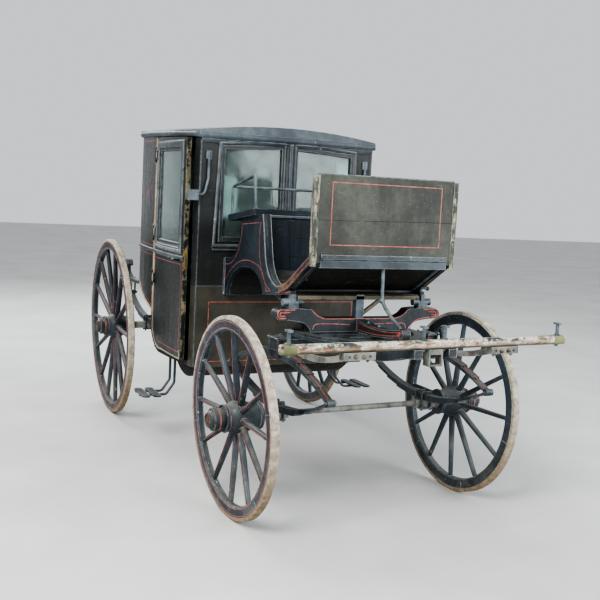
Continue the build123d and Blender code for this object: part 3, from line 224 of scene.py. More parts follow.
class Shape:
    """Points and faces gathered for one piece."""

    def __init__(self):
        self.points = []
        self.faces = []

    def skin(self, base, size, closed=False, flipped=0):
        """Faces over rings of points from base on, and over both ends unless flipped is None."""
        count = (len(self.points) - base) // size
        for k in range(count if closed else count - 1):
            one, two = base + k * size, base + (k + 1) % count * size
            for j in range(size):
                self.faces.append((one + j, one + (j + 1) % size, two + (j + 1) % size, two + j))
        if not closed and flipped is not None:
            ends = [tuple(range(start, start + size)) for start in (base, len(self.points) - size)]
            ends[flipped] = ends[flipped][::-1]
            self.faces += ends

    def sweep(self, path, section, closed=False):
        """A section of (across, out) pairs, in mm, carried along (point, normal) pairs."""
        base, count = len(self.points), len(path)
        for k, (point, normal) in enumerate(path):
            before = path[k - 1][0] if k or closed else point
            after = path[(k + 1) % count][0] if k < count - 1 or closed else point
            first, second = point - before, after - point
            first = (first if first.length > 1e-8 else second).normalized()
            second = (second if second.length > 1e-8 else first).normalized()
            along = (first + second).normalized() if (first + second).length > 1e-6 else second
            across = normal.cross(along).normalized()
            mitre = 1 / max(0.5, along.dot(first))
            self.points += [point + across * a * mitre / 1000 + normal * b / 1000 for a, b in section]
        self.skin(base, len(section), closed, 1)

    def stripe(self, path, width=3.2, closed=False):
        self.sweep(path, flat_section(width), closed)

    def run(self, places, normal, section, closed=False):
        """A section carried along (x, y, z) places in mm that all look one way."""
        self.sweep([(at(*place), normal) for place in places], section, closed)

    def ring(self, point, side, up, radius, sides):
        for j in range(sides):
            angle = 2 * math.pi * j / sides
            self.points.append(point + (side * math.cos(angle) + up * math.sin(angle)) * radius / 1000)

    def tube(self, line, radius, sides=10):
        """A round bar along points."""
        base, side = len(self.points), None
        for k, point in enumerate(line):
            before, after = beside(line, k)
            along = (after - before).normalized()
            side = side or along.orthogonal().normalized()
            side = (side - along * side.dot(along)).normalized()
            self.ring(point, side, along.cross(side), radius, sides)
        self.skin(base, sides)

    def turned(self, foot, axis, profile, sides=16):
        """A turned form or, with six sides, a nut: (radius, height) pairs in mm from its foot."""
        axis = axis.normalized()
        side = axis.orthogonal().normalized()
        base = len(self.points)
        for radius, height in profile:
            self.ring(foot + axis * height / 1000, side, axis.cross(side), radius, sides)
        self.skin(base, sides)

    def bar(self, low, high, ease):
        """A rectangular timber between two corners in mm, its long edges eased."""
        sizes = [b - a for a, b in zip(low, high)]
        long = sizes.index(max(sizes))
        wide, deep = [k for k in range(3) if k != long]
        start = [(a + b) / 2 for a, b in zip(low, high)]
        end = list(start)
        start[long], end[long] = low[long], high[long]
        normal = Vector([float(k == deep) for k in range(3)])
        self.run([start, end], normal, eased(sizes[wide] / 2, -sizes[deep] / 2, sizes[deep] / 2, ease))

    def bolt(self, foot, axis, size, kind="dome"):
        """A bolt head, nut or screw head standing on a surface."""
        forms = {
            "dome": [(12, [(1, -1 / size), (1, 0.2), (0.85, 0.5), (0.45, 0.75), (0.5 / size, 0.82)])],
            "nut": [
                (14, [(1.35, -1 / size), (1.35, 1.5 / size), (1.3, 2 / size)]),
                (6, [(1, 0), (1, 0.8), (0.86, 0.95)]),
                (10, [(0.5, 0.8), (0.5, 1.35), (0.4, 1.5)]),
            ],
            "screw": [(12, [(1, -0.6 / size), (1, 0.6 / size), (0.7, 1.1 / size), (0.2, 0.9 / size)])],
        }
        for sides, profile in forms[kind]:
            self.turned(foot, axis, [(size * a, size * b) for a, b in profile], sides)


def mirrored(*half):
    """A section from the pairs on one side of its middle."""
    return [(-a, b) for a, b in half] + [(a, b) for a, b in reversed(half) if a]


def flat_section(width, rise=0.5, sink=0.5):
    return mirrored((width / 2, -sink), (width / 2, rise))


def eased(half, low, high, ease):
    return [
        (-half, low + ease), (-half, high - ease), (-half + ease, high), (half - ease, high),
        (half, high - ease), (half, low + ease), (half - ease, low), (-half + ease, low),
    ]


def bead_section(half, rise):
    top = [(-half * math.cos(math.pi * k / 6), rise * math.sin(math.pi * k / 6)) for k in range(7)]
    return [(-half, -1), *top, (half, -1)]


def stepped_section(half, rise):
    """A moulding with a flat, a quirk and a rounded top."""
    outline = ((1, 0.35), (0.72, 0.45), (0.62, 0.85), (0.3, 1))
    return mirrored((half, -1), *[(half * a, rise * b) for a, b in outline])


def linked(name, data):
    """A new object of the scene."""
    made = bpy.data.objects.new(name, data)
    bpy.context.scene.collection.objects.link(made)
    return made


def piece(name, shape, finish, slot="frame_paint", smooth=35, body="carriage_body", place=None):
    """Makes the gathered mesh a piece that rides on a body."""
    mesh = bpy.data.meshes.new(name)
    mesh.from_pydata(shape.points, [], shape.faces)
    work = bmesh.new()
    work.from_mesh(mesh)
    bmesh.ops.remove_doubles(work, verts=work.verts, dist=1e-6)
    bmesh.ops.recalc_face_normals(work, faces=work.faces)
    work.to_mesh(mesh)
    work.free()
    if place is not None:
        mesh.transform(place)
    for polygon in mesh.polygons:
        polygon.use_smooth = True
    mesh.set_sharp_from_angle(angle=math.radians(smooth))
    mesh.materials.append(finish)
    made = linked(name, mesh)
    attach(made, body)


TREES = {}


def found(node, origin, direction, place=None):
    """Where a ray meets a CAD node, with the normal turned towards the ray's start."""
    if node not in TREES:
        mesh = NODES[node].data
        mesh.calc_loop_triangles()
        triangles = [tuple(t.vertices) for t in mesh.loop_triangles]
        TREES[node] = BVHTree.FromPolygons([v.co.copy() for v in mesh.vertices], triangles)
    if place is not None:
        direction = place.to_3x3() @ direction
        origin = place @ origin
    hit, normal, _, _ = TREES[node].ray_cast(origin, direction.normalized())
    if hit is None:
        return None
    return hit, normal if normal.dot(direction) < 0 else -normal


def laid(node, origins, direction, place=None):
    """The path that a run of rays draws on a CAD node."""
    hits = [found(node, origin, direction, place) for origin in origins]
    return [hit for hit in hits if hit]


FORE = turn_about(KINGPIN, STEER)
ON_FORECARRIAGE = {"body": "forecarriage", "place": FORE}
DOORS = {
    "left": Matrix.Identity(4),
    "right": turn_about(at(HINGE_X, -side_y(HINGE_X) - 9, 0), -AJAR),
}


def wheel_place(kind, side):
    """Frame of a rim: local Z looks outward along the axle arm."""
    wheel = WHEELS[kind]
    outward = Vector((0, side * math.cos(CAMBER), -math.sin(CAMBER)))
    axes = Matrix((FORWARD, outward.cross(FORWARD), outward)).transposed().to_4x4()
    place = Matrix.Translation(at(wheel["x"], side * wheel["half_track"], wheel["height"])) @ axes
    return FORE @ place if kind == "front" else place


# Finishes

class Finish:
    """Node material being built: colour, wear, roughness and bump from the object's own coordinates."""

    def __init__(self, name):
        self.material = bpy.data.materials.new(name)
        self.material.use_nodes = True
        self.tree = self.material.node_tree
        self.tree.nodes.clear()
        self.shader = self.tree.nodes.new("ShaderNodeBsdfPrincipled")
        output = self.tree.nodes.new("ShaderNodeOutputMaterial")
        self.tree.links.new(self.shader.outputs[0], output.inputs[0])
        self.coordinates = self.tree.nodes.new("ShaderNodeTexCoord")
        self.where = self.coordinates.outputs["Object"]

    def feed(self, socket, value):
        """Links a node's output to a socket, or gives the socket a plain value."""
        if isinstance(value, bpy.types.NodeSocket):
            self.tree.links.new(value, socket)
        else:
            socket.default_value = (*value, 1) if socket.type == "RGBA" else value

    def add(self, kind, inputs=(), **settings):
        node = self.tree.nodes.new(kind)
        for key, value in settings.items():
            setattr(node, key, value)
        for key, value in dict(inputs).items():
            self.feed(node.inputs[key], value)
        return node

    def noise(self, scale, detail=4, rough=0.55, stretch=None):
        where = self.where
        if stretch:
            where = self.add("ShaderNodeMapping", {"Vector": where, "Scale": stretch}).outputs[0]
        settings = {"Vector": where, "Scale": scale, "Detail": detail, "Roughness": rough}
        return self.add("ShaderNodeTexNoise", settings).outputs[0]

    def spots(self, scale):
        settings = {"Vector": self.where, "Scale": scale}
        return self.add("ShaderNodeTexVoronoi", settings, feature="F1").outputs[0]

    def ramp(self, value, low, high, start=0.0, end=1.0):
        settings = {"Value": value, "From Min": low, "From Max": high, "To Min": start, "To Max": end}
        return self.add("ShaderNodeMapRange", settings, interpolation_type="SMOOTHSTEP").outputs[0]

    def maths(self, operation, one, two=0.0):
        return self.add("ShaderNodeMath", {0: one, 1: two}, operation=operation, use_clamp=True).outputs[0]

    def times(self, one, two):
        return self.maths("MULTIPLY", one, two)

    def blend(self, one, share_one, two, share_two):
        return self.maths("ADD", self.times(one, share_one), self.times(two, share_two))

    def mix(self, share, one, two):
        return self.add("ShaderNodeMix", {"Factor": share, 6: one, 7: two}, data_type="RGBA").outputs[2]

    def cloud(self, scale, detail=4, rough=0.55, start=0.0, end=1.0):
        """Soft patches that go from one value to another."""
        return self.ramp(self.noise(scale, detail, rough), 0.3, 0.7, start, end)

    def tones(self, dark, light, scale, detail=4, rough=0.55):
        """Soft patches of two colours, each given as 0 to 255 on screen."""
        return self.mix(self.cloud(scale, detail, rough), srgb(dark), srgb(light))

    def edges(self, radius):
        """Near an edge of the solid: 1 on it, 0 away from it."""
        soft = self.add("ShaderNodeBevel", {"Radius": radius}, samples=4).outputs[0]
        plain = self.add("ShaderNodeNewGeometry").outputs["Normal"]
        dot = self.add("ShaderNodeVectorMath", {0: soft, 1: plain}, operation="DOT_PRODUCT").outputs["Value"]
        return self.ramp(dot, 0.995, 0.86)

    def part(self, axis, source=None):
        split = self.add("ShaderNodeSeparateXYZ", {0: source or self.where})
        return split.outputs[axis]

    def upward(self):
        return self.ramp(self.part(2, self.coordinates.outputs["Normal"]), 0.3, 0.95)

    def inward(self, centre):
        """1 on faces that look towards the middle of the cabin, 0 on faces that look out."""
        middle = self.add("ShaderNodeVectorMath", {0: self.where, 1: centre}, operation="SUBTRACT").outputs[0]
        normal = self.coordinates.outputs["Normal"]
        dot = self.add("ShaderNodeVectorMath", {0: middle, 1: normal}, operation="DOT_PRODUCT")
        return self.ramp(dot.outputs["Value"], 0.02, -0.02)

    def finish(self, colour, roughness, height=None, strength=0.3, distance=0.001, **sockets):
        """Feeds the shader; an underscore in a socket's name stands for a space."""
        if height is not None:
            bump = self.add("ShaderNodeBump", {"Height": height, "Strength": strength, "Distance": distance})
            sockets["Normal"] = bump.outputs[0]
        for key, value in {"Base_Color": colour, "Roughness": roughness, **sockets}.items():
            self.feed(self.shader.inputs[key.replace("_", " ")], value)
        return self.material


def srgb(colour):
    """A colour given as 0 to 255 on screen."""
    return tuple(((c / 255 + 0.055) / 1.055) ** 2.4 if c > 10 else c / 255 / 12.92 for c in colour)


CABIN_MIDDLE = tuple(at(-1690, 0, 1300))
LINING = ((16, 34, 34), (34, 60, 58))


def paint(
    name, dark, light, worn, rough=(0.34, 0.6), fade=0.5, runs=(34, 34, 2.4), chip=0.67, chip_scale=20,
    under=None, edge=0.004, wear=0.42, marks=0.35, dusty=0.3, dust=(132, 128, 116), grain=0.3, bump=0.35,
    second=None, lined=False,
):
    """Old coach paint: patches, runs, rubbed edges, chips, dust on ledges and low down."""
    f = Finish(name)
    dark, light, worn, under, dust = [srgb(colour) for colour in (dark, light, worn, under or worn, dust)]
    patches = f.noise(3.5, 6, 0.62)
    streams = f.noise(1.0, 5, 0.6, stretch=runs)
    mottle = f.noise(38, 5, 0.65)
    colour = f.mix(f.ramp(patches, 0.34, 0.68), dark, light)
    faded = tuple(min(1, 1.5 * c + 0.006) for c in light)
    streaks = f.times(f.ramp(streams, 0.5, 0.78), f.ramp(patches, 0.3, 0.6, 0.25, 1))
    colour = f.mix(f.times(streaks, fade), colour, faded)
    colour = f.mix(f.times(f.ramp(mottle, 0.42, 0.62), 0.25), colour, dark)
    if second:
        share, other = second(f)
        colour = f.mix(share, colour, other)
    chips = f.ramp(f.noise(chip_scale, 10, 0.72), chip, chip + 0.025)
    colour = f.mix(chips, colour, under)
    rubbed = f.times(f.edges(edge), f.ramp(f.noise(26, 6, 0.7), wear, wear + 0.16))
    colour = f.mix(f.times(rubbed, 0.8), colour, worn)
    scratches = f.ramp(f.noise(1.0, 2, 0.4, stretch=(9, 9, 420)), 0.735, 0.76)
    pits = f.ramp(f.spots(46), 0.075, 0.045)
    colour = f.mix(f.times(f.maths("MAXIMUM", scratches, pits), marks), colour, worn)
    settled = f.times(f.upward(), f.ramp(mottle, 0.3, 0.7, 0.35, 1))
    splashed = f.times(f.ramp(f.part(2), 0.75, 0.05, 0, 0.8), f.ramp(f.noise(9, 8, 0.7), 0.35, 0.75))
    dirt = f.times(f.maths("MAXIMUM", settled, splashed), dusty)
    colour = f.mix(dirt, colour, dust)
    if lined:
        colour = f.mix(f.inward(CABIN_MIDDLE), colour, f.tones(*LINING, 420, 2))
    sheen = f.ramp(f.blend(mottle, 0.5, streams, 0.5), 0.3, 0.7, *rough)
    sheen = f.maths("MAXIMUM", sheen, f.times(f.maths("MAXIMUM", chips, dirt), 0.85))
    height = f.blend(f.noise(240, 3, 0.6), 0.12, streams, grain)
    height = f.maths("SUBTRACT", height, f.times(chips, 0.25))
    return f.finish(colour, sheen, height, bump, 0.0012)


def iron_finish(name, dark, light, rust_amount=0.62, rough=(0.36, 0.62), metal=0.55):
    """Painted and bare iron with rust spots and light rubbed edges."""
    f = Finish(name)
    patches = f.noise(12, 7, 0.65)
    colour = f.mix(f.ramp(patches, 0.34, 0.64), srgb(dark), srgb(light))
    edge = f.times(f.edges(0.0035), f.ramp(f.noise(40, 5, 0.6), 0.36, 0.55))
    colour = f.mix(f.times(edge, 0.7), colour, srgb((168, 172, 174)))
    rust = f.ramp(f.noise(30, 9, 0.72), rust_amount, rust_amount + 0.06)
    colour = f.mix(rust, colour, f.tones((70, 44, 30), (118, 82, 58), 210, 4, 0.6))
    colour = f.mix(f.times(f.upward(), 0.35), colour, srgb((138, 136, 128)))
    roughness = f.maths("MAXIMUM", f.ramp(patches, 0.3, 0.7, *rough), f.times(rust, 0.85))
    height = f.blend(patches, 0.5, f.noise(210, 4, 0.6), 0.3)
    return f.finish(colour, roughness, height, 0.4, 0.0012, Metallic=metal)


def lower_panel(f):
    """The faded olive-brown panel below the joint of the front wall."""
    return f.ramp(f.part(2), 1.031, 1.029), f.tones((46, 45, 38), (68, 66, 56), 7, 7, 0.65)


def painted_shade_in_box(f):
    """Painted shade: the unlit inside of the boot, which its arches show, made near black."""
    facing = f.maths("ABSOLUTE", f.part(1, f.coordinates.outputs["Normal"]))
    share = f.maths("MAXIMUM", f.ramp(facing, 0.4, 0.6), f.ramp(f.part(2), 1.156, 1.152))
    return share, f.tones((6, 7, 8), (15, 16, 17), 20, 5)


def dash_posts(f):
    """Worn cream paint on the dash's end posts."""
    sideways = f.ramp(f.maths("ABSOLUTE", f.part(1)), 0.3719, 0.3723)
    share = f.times(sideways, f.ramp(f.noise(14, 9, 0.75, stretch=(3, 3, 0.7)), 0.46, 0.56))
    return share, f.tones((104, 104, 90), (160, 156, 138), 60, 5)


def bare_foot(f):
    """Weathered timber where the paint of the foot rail's lower end is gone."""
    share = f.times(f.ramp(f.part(2), 1.235, 1.165), f.ramp(f.noise(22, 9, 0.75), 0.4, 0.48))
    return share, f.tones((62, 54, 38), (110, 98, 72), 70, 5)


BODY = paint(
    "body_enamel", (8, 14, 14), (18, 27, 26), (120, 124, 116), rough=(0.22, 0.46), fade=0.32, chip=0.72,
    dusty=0.16, marks=0.25, lined=True, grain=0.12, bump=0.2,
)
FRAME = paint(
    "frame_enamel", (28, 33, 37), (54, 61, 66), (166, 172, 172), rough=(0.38, 0.62), fade=0.45, chip=0.69,
    wear=0.36, edge=0.006, lined=True,
)
FRONT = paint(
    "front_enamel", (24, 27, 28), (43, 46, 46), (150, 152, 146), rough=(0.42, 0.66), fade=0.45, chip=0.71,
    dusty=0.25, lined=True, second=lower_panel,
)
BOOT = paint(
    "boot_enamel", (13, 22, 30), (32, 46, 57), (150, 160, 166), rough=(0.34, 0.58), fade=0.6, chip=0.68,
    marks=0.5,
)
# Boot box enamel, with painted shade on the inside faces that its arches show.
BOOT_BOX = paint(
    "boot_box_enamel_and_painted_shade", (14, 22, 29), (30, 43, 53), (150, 160, 166), rough=(0.36, 0.6), fade=0.6, chip=0.68,
    marks=0.5, second=painted_shade_in_box,
)
BOOT_LIGHT = paint(
    "boot_bead_enamel", (40, 52, 62), (78, 92, 102), (190, 198, 200), rough=(0.4, 0.6), chip=0.62, wear=0.34,
)
FOOT_RAIL = paint(
    "foot_rail_enamel", (16, 24, 31), (36, 48, 56), (150, 156, 156), rough=(0.4, 0.65), chip=0.66,
    second=bare_foot,
)
WORN_EDGE = paint(
    "worn_edge_enamel", (34, 45, 54), (74, 88, 98), (186, 192, 190), rough=(0.45, 0.65), chip=0.6,
    chip_scale=34, wear=0.3, edge=0.006, dusty=0.25,
)
SEAM = paint("dark_seam", (8, 8, 8), (16, 15, 14), (40, 38, 34), rough=(0.7, 0.9), dusty=0.15, chip=0.8)
MOULDING = paint(
    "moulding_enamel", (44, 53, 60), (80, 90, 97), (182, 184, 176), rough=(0.4, 0.6), chip=0.64, wear=0.36,
    dusty=0.35,
)
DASH = paint(
    "dash_enamel", (50, 52, 47), (77, 79, 71), (160, 162, 152), rough=(0.5, 0.74), fade=0.55,
    runs=(20, 20, 3), chip=0.7, dusty=0.4, marks=0.6, second=dash_posts,
)
WHEEL = paint(
    "wheel_enamel", (24, 32, 39), (56, 68, 77), (184, 190, 188), rough=(0.42, 0.66), fade=0.6,
    runs=(26, 26, 26), chip=0.64, chip_scale=30, wear=0.36, edge=0.005, dusty=0.45, marks=0.5,
    dust=(142, 140, 130),
)
ROOF = paint(
    "roof_canvas", (64, 72, 78), (98, 106, 110), (170, 174, 172), rough=(0.5, 0.75), fade=0.4,
    runs=(30, 3, 30), chip=0.68, dusty=0.5,
)
UNDERSIDE = paint(
    "underside_paint", (24, 23, 21), (44, 42, 37), (96, 92, 80), rough=(0.6, 0.85), chip=0.62, dusty=0.4,
    lined=True,
)
CREAM = paint(
    "worn_cream", (128, 124, 104), (176, 170, 144), (206, 202, 184), rough=(0.5, 0.75), chip=0.6,
    under=(70, 66, 54), dusty=0.1, runs=(30, 30, 8), edge=0.003,
)
CREAM_BEAM = paint(
    "worn_beam", (70, 68, 56), (118, 112, 92), (170, 164, 142), rough=(0.55, 0.8), chip=0.6,
    under=(50, 46, 38),
)
BARE_WOOD = paint(
    "bare_wood", (84, 78, 58), (142, 134, 106), (196, 190, 164), rough=(0.6, 0.8), chip=0.475, chip_scale=14,
    under=(18, 19, 18), runs=(160, 160, 5), grain=0.6, dusty=0.1,
)
BAND = paint(
    "olive_band", (92, 94, 62), (128, 128, 92), (176, 172, 140), rough=(0.5, 0.7), chip=0.6,
    under=(84, 72, 56), dusty=0.2,
)
IRON = iron_finish("carriage_iron", (44, 50, 54), (84, 92, 98))
PALE_IRON = iron_finish("pale_iron", (62, 71, 78), (112, 122, 128), 0.64, (0.4, 0.65), 0.35)
AXLE_IRON = iron_finish("weathered_axle", (84, 86, 84), (142, 142, 134), 0.6, (0.5, 0.75), 0.25)
RUSTY = iron_finish("rusty_iron", (70, 58, 48), (112, 100, 88), 0.5, (0.55, 0.85), 0.4)
BRASS = iron_finish("old_brass", (120, 92, 44), (176, 144, 82), 0.7, (0.3, 0.5), 0.9)


def stripe_finish(name, ground):
    """Coral-red lining, rubbed thin in places so that the ground shows."""
    f = Finish(name)
    rubbed = f.times(f.ramp(f.noise(45, 8, 0.75), 0.53, 0.61), 0.75)
    colour = f.mix(rubbed, f.tones((150, 76, 70), (186, 108, 100), 30, 5), srgb(ground))
    return f.finish(colour, f.cloud(90, 3, start=0.4, end=0.65), f.noise(200, 3), 0.2, 0.0004)


RED_ON_DARK = stripe_finish("red_lining_dark", (34, 36, 38))
RED_ON_WHEEL = stripe_finish("red_lining_wheel", (70, 76, 82))
RED_ON_DASH = stripe_finish("red_lining_dash", (84, 84, 78))


def bar_finish():
    """Splinter bar: cream, brown and dark coats peeling off grey wood, with a faded red-orange line."""
    f = Finish("peeling_bar")
    grain = f.ramp(f.noise(1, 6, 0.6, stretch=(160, 5, 160)), 0.35, 0.7)
    wood = f.mix(grain, srgb((96, 86, 70)), srgb((150, 138, 116)))
    cream = f.tones((150, 148, 134), (196, 192, 178), 60)
    dark = f.tones((36, 42, 46), (70, 76, 78), 40)
    first = f.ramp(f.noise(11, 12, 0.72, stretch=(1, 0.45, 1)), 0.515, 0.545)
    second = f.ramp(f.noise(15, 12, 0.75, stretch=(1, 0.5, 1)), 0.53, 0.56)
    top = f.ramp(f.part(2), 0.954, 0.969)
    colour = f.mix(f.times(second, f.ramp(top, 0, 1, 0.5, 1)), f.mix(first, cream, wood), dark)
    low = f.ramp(f.part(2), 0.951, 0.943)
    colour = f.mix(f.times(low, 0.8), colour, srgb((78, 72, 50)))
    line = f.times(f.ramp(f.part(2), 0.9492, 0.9498), f.ramp(f.part(2), 0.9532, 0.9526))
    line = f.times(line, f.ramp(f.noise(18, 8, 0.72), 0.58, 0.5))
    colour = f.mix(line, colour, srgb((184, 98, 72)))
    height = f.blend(second, 0.3, f.noise(150), 0.3)
    return f.finish(colour, f.cloud(60, start=0.5, end=0.8), height, 0.6, 0.002)


def tyre_finish():
    """Old rubber under a pale skin of dried dust, browner low down."""
    f = Finish("dusty_rubber")
    pale = f.tones((132, 124, 110), (196, 190, 176), 26, 8, 0.7)
    brown = f.tones((112, 94, 72), (158, 140, 114), 40, 8, 0.7)
    colour = f.mix(f.ramp(f.part(2), 0.62, 0.1), pale, brown)
    bare = f.times(f.ramp(f.noise(70, 9, 0.75), 0.62, 0.68), 0.8)
    colour = f.mix(bare, colour, srgb((66, 62, 56)))
    grit = f.times(f.ramp(f.noise(190, 4, 0.7), 0.52, 0.6), 0.55)
    colour = f.mix(grit, colour, srgb((96, 86, 76)))
    return f.finish(colour, f.cloud(50, start=0.75, end=0.95), f.times(f.noise(120, 6, 0.7), 0.6), 0.6, 0.002)


def glass_finish():
    """Old glass with a thin uneven film of dirt."""
    f = Finish("old_glass")
    film = f.ramp(f.noise(14, 7, 0.65), 0.35, 0.8, 0.03, 0.22)
    colour = f.mix(f.cloud(6), (0.52, 0.70, 0.66), (0.64, 0.80, 0.77))
    return f.finish(colour, film, f.noise(5, 3), 0.12, 0.001, Transmission_Weight=0.93, IOR=1.45)


def cloth_finish(name, dark, light):
    """Wool broadcloth: fine twill, worn pile and a soft sheen."""
    f = Finish(name)
    wave = {"Vector": f.where, "Scale": 260.0, "Distortion": 1.2}
    twill = f.add("ShaderNodeTexWave", wave, bands_direction="DIAGONAL").outputs[1]
    colour = f.tones(dark, light, 9, 6, 0.6)
    colour = f.mix(f.times(twill, 0.25), colour, tuple(0.5 * c for c in srgb(dark)))
    pile = f.ramp(f.noise(28, 5, 0.6), 0.55, 0.75, 0, 0.35)
    colour = f.mix(pile, colour, tuple(min(1, 1.8 * c) for c in srgb(light)))
    height = f.blend(twill, 0.4, f.noise(300, 3), 0.4)
    roughness = f.cloud(40, 3, start=0.75, end=0.95)
    return f.finish(colour, roughness, height, 0.5, 0.0008, Sheen_Weight=0.4, Sheen_Roughness=0.5)


BAR_PAINT = bar_finish()
RUBBER = tyre_finish()
GLASS = glass_finish()
CLOTH = cloth_finish("seat_broadcloth", (18, 44, 44), (38, 74, 72))
CORNERS = [kind + "_" + name for kind in WHEELS for name in SIDES]

FINISHES = {
    BODY: ["cabin_quarter_left", "cabin_quarter_right", "cabin_back", "door_left", "door_right"],
    FRONT: ["cabin_front"],
    BOOT: ["boot_side_left", "boot_side_right", "seat_board"],
    BOOT_BOX: ["boot_box"],
    DASH: ["dash"],
    WHEEL: ["wheel_" + corner for corner in CORNERS],
    FRAME: ["forecarriage_bed", "futchells", "bolster"],
    ROOF: ["roof"],
    UNDERSIDE: ["cabin_floor", "footboard"],
    BAR_PAINT: ["splinter_bar"],
    RUBBER: ["tyre_" + corner for corner in CORNERS],
    GLASS: ["fixed_glass", "door_glass_left", "door_glass_right"],
    CLOTH: ["seat_cushion", "seat_backrest"],
    IRON: [
        "front_spring_left", "front_spring_right", "rear_irons", "rear_springs", "steps",
        "turntable_lower", "turntable_upper",
    ],
    PALE_IRON: ["bar_pins", "boot_irons", "lamp_irons", "seat_rail"],
    AXLE_IRON: ["front_axle", "rear_axle", "bar_irons"],
}
for finish, names in FINISHES.items():
    for node_name in names:
        mesh_data = NODES[node_name].data
        mesh_data.materials.clear()
        mesh_data.materials.append(finish)


# Wheels

def wheel_trim(kind, name):
    """Lining on the rim, spokes and hub, the nut in the hub's nose, the hub's hoops and the rim's bolts."""
    wheel = WHEELS[kind]
    place = wheel_place(kind, SIDES[name])
    outward = place.to_3x3() @ UP
    node, body = "wheel_" + kind + "_" + name, kind + "_" + name + "_wheel"
    rim = wheel["radius"] - TYRE_DEPTH
    inner = rim - FELLOE_DEPTH
    lines, bolts, cap, hoops = [Shape() for _ in range(4)]

    def on_face(spots):
        """Path that spots of the rim's plane draw on the wheel's outer face."""
        hits = laid(node, [(spot + UP * 60) / 1000 for spot in spots], -UP, place)
        return [(hit, outward) for hit, _ in hits]

    def hub_ring(height, count):
        hits = [(found(node, out * 0.13 + UP * height / 1000, -out, place), out) for out in circle(count)]
        return [(hit[0], place.to_3x3() @ out) for hit, out in hits]

    for radius in (inner + 11, rim - 9):
        lines.stripe(on_face([out * radius for out in circle(144)]), closed=True)
    step = 2 * math.pi / wheel["spokes"]
    fork = [(92, 8), (120, 7.5), (150, 4.5), (190, 0.6)]
    runs = (fork, [(r, -off) for r, off in fork], [(r, 0) for r in range(186, int(inner - 34), 12)])
    for number in range(wheel["spokes"]):
        turn = Matrix.Rotation(number * step, 4, "Z")
        for run, width in zip(runs, (2.2, 2.2, 3.0)):
            path = on_face([turn @ Vector((r, off, 0)) for r, off in run])
            if len(path) > 1:
                lines.stripe(path, width)
    for number in range(wheel["spokes"] // 2):
        for off in (-0.042, 0.042):
            angle = (2 * number + 0.5) * step + off
            spot = Vector((math.cos(angle), math.sin(angle), 0)) * (inner + rim) / 2
            for face in (1, -1):
                hit = found(node, (spot + UP * 60 * face) / 1000, -UP * face, place)
                if hit:
                    bolts.bolt(hit[0], hit[1], 4.2)
    for height, width in ((wheel["nose"] - 48, 5.5), (36, 3.0)):
        lines.stripe(hub_ring(height, 48), width, closed=True)
    nose = place @ (UP * wheel["nose"] / 1000)
    cap.turned(nose, outward, [(35, -7), (35, 2), (32, 4.5), (27, 4.5), (25.5, 1), (25, -5)], 40)
    cap.turned(nose, outward, [(17, -5), (17, 2.6), (15, 3.6)], 6)
    cap.turned(nose, outward, [(8, 2), (8, 5), (6.5, 6)], 12)
    for height in (-140, 43):
        hoops.sweep(hub_ring(height, 56), bead_section(7, 4.16), closed=True)
    piece("lining_" + node, lines, RED_ON_WHEEL, "wheel_paint", 60, body)
    piece("rim_bolts_" + node, bolts, IRON, "iron", 60, body)
    piece("hub_nut_" + node, cap, RUSTY, "iron", 40, body)
    piece("hub_hoops_" + node, hoops, IRON, "iron", 50, body)


for wheel_kind in WHEELS:
    for side_name in SIDES:
        wheel_trim(wheel_kind, side_name)


# Cabin sides

def side_path(node, line, side, place=None, closed=False, gap=26):
    """A line of (x, z) places laid on a side panel, following its own curve."""
    starts = [at(x, side * 900, z) for x, z in finer(line, gap, closed)]
    return laid(node, starts, Vector((0, -side, 0)), place)


QUARTER_X = HINGE_X - 7
QUARTER_FOOT = drawn(
    (QUARTER_X, 790), (((QUARTER_X + CORNER[0]) / 2, 847), (CORNER[0], 940)), (-2486, 948), gap=10,
)


def sweep_low(x):
    """Lower edge of the rear quarter, which sweeps up to the back."""
    return read_off(QUARTER_FOOT, x)


def wall_top(x):
    return ROOF_Z + (FRONT_X - x) * ROOF_SLOPE


DOOR_OUTLINE = drawn(
    (DOOR_FRONT_X - 2, wall_top(DOOR_FRONT_X) - 9), (DOOR_FRONT_X - 2, 580), (-1430, 580),
    ((HINGE_X + 78, 616), (HINGE_X + 2, 690)), (HINGE_X + 2, wall_top(HINGE_X) - 9), gap=14,
)


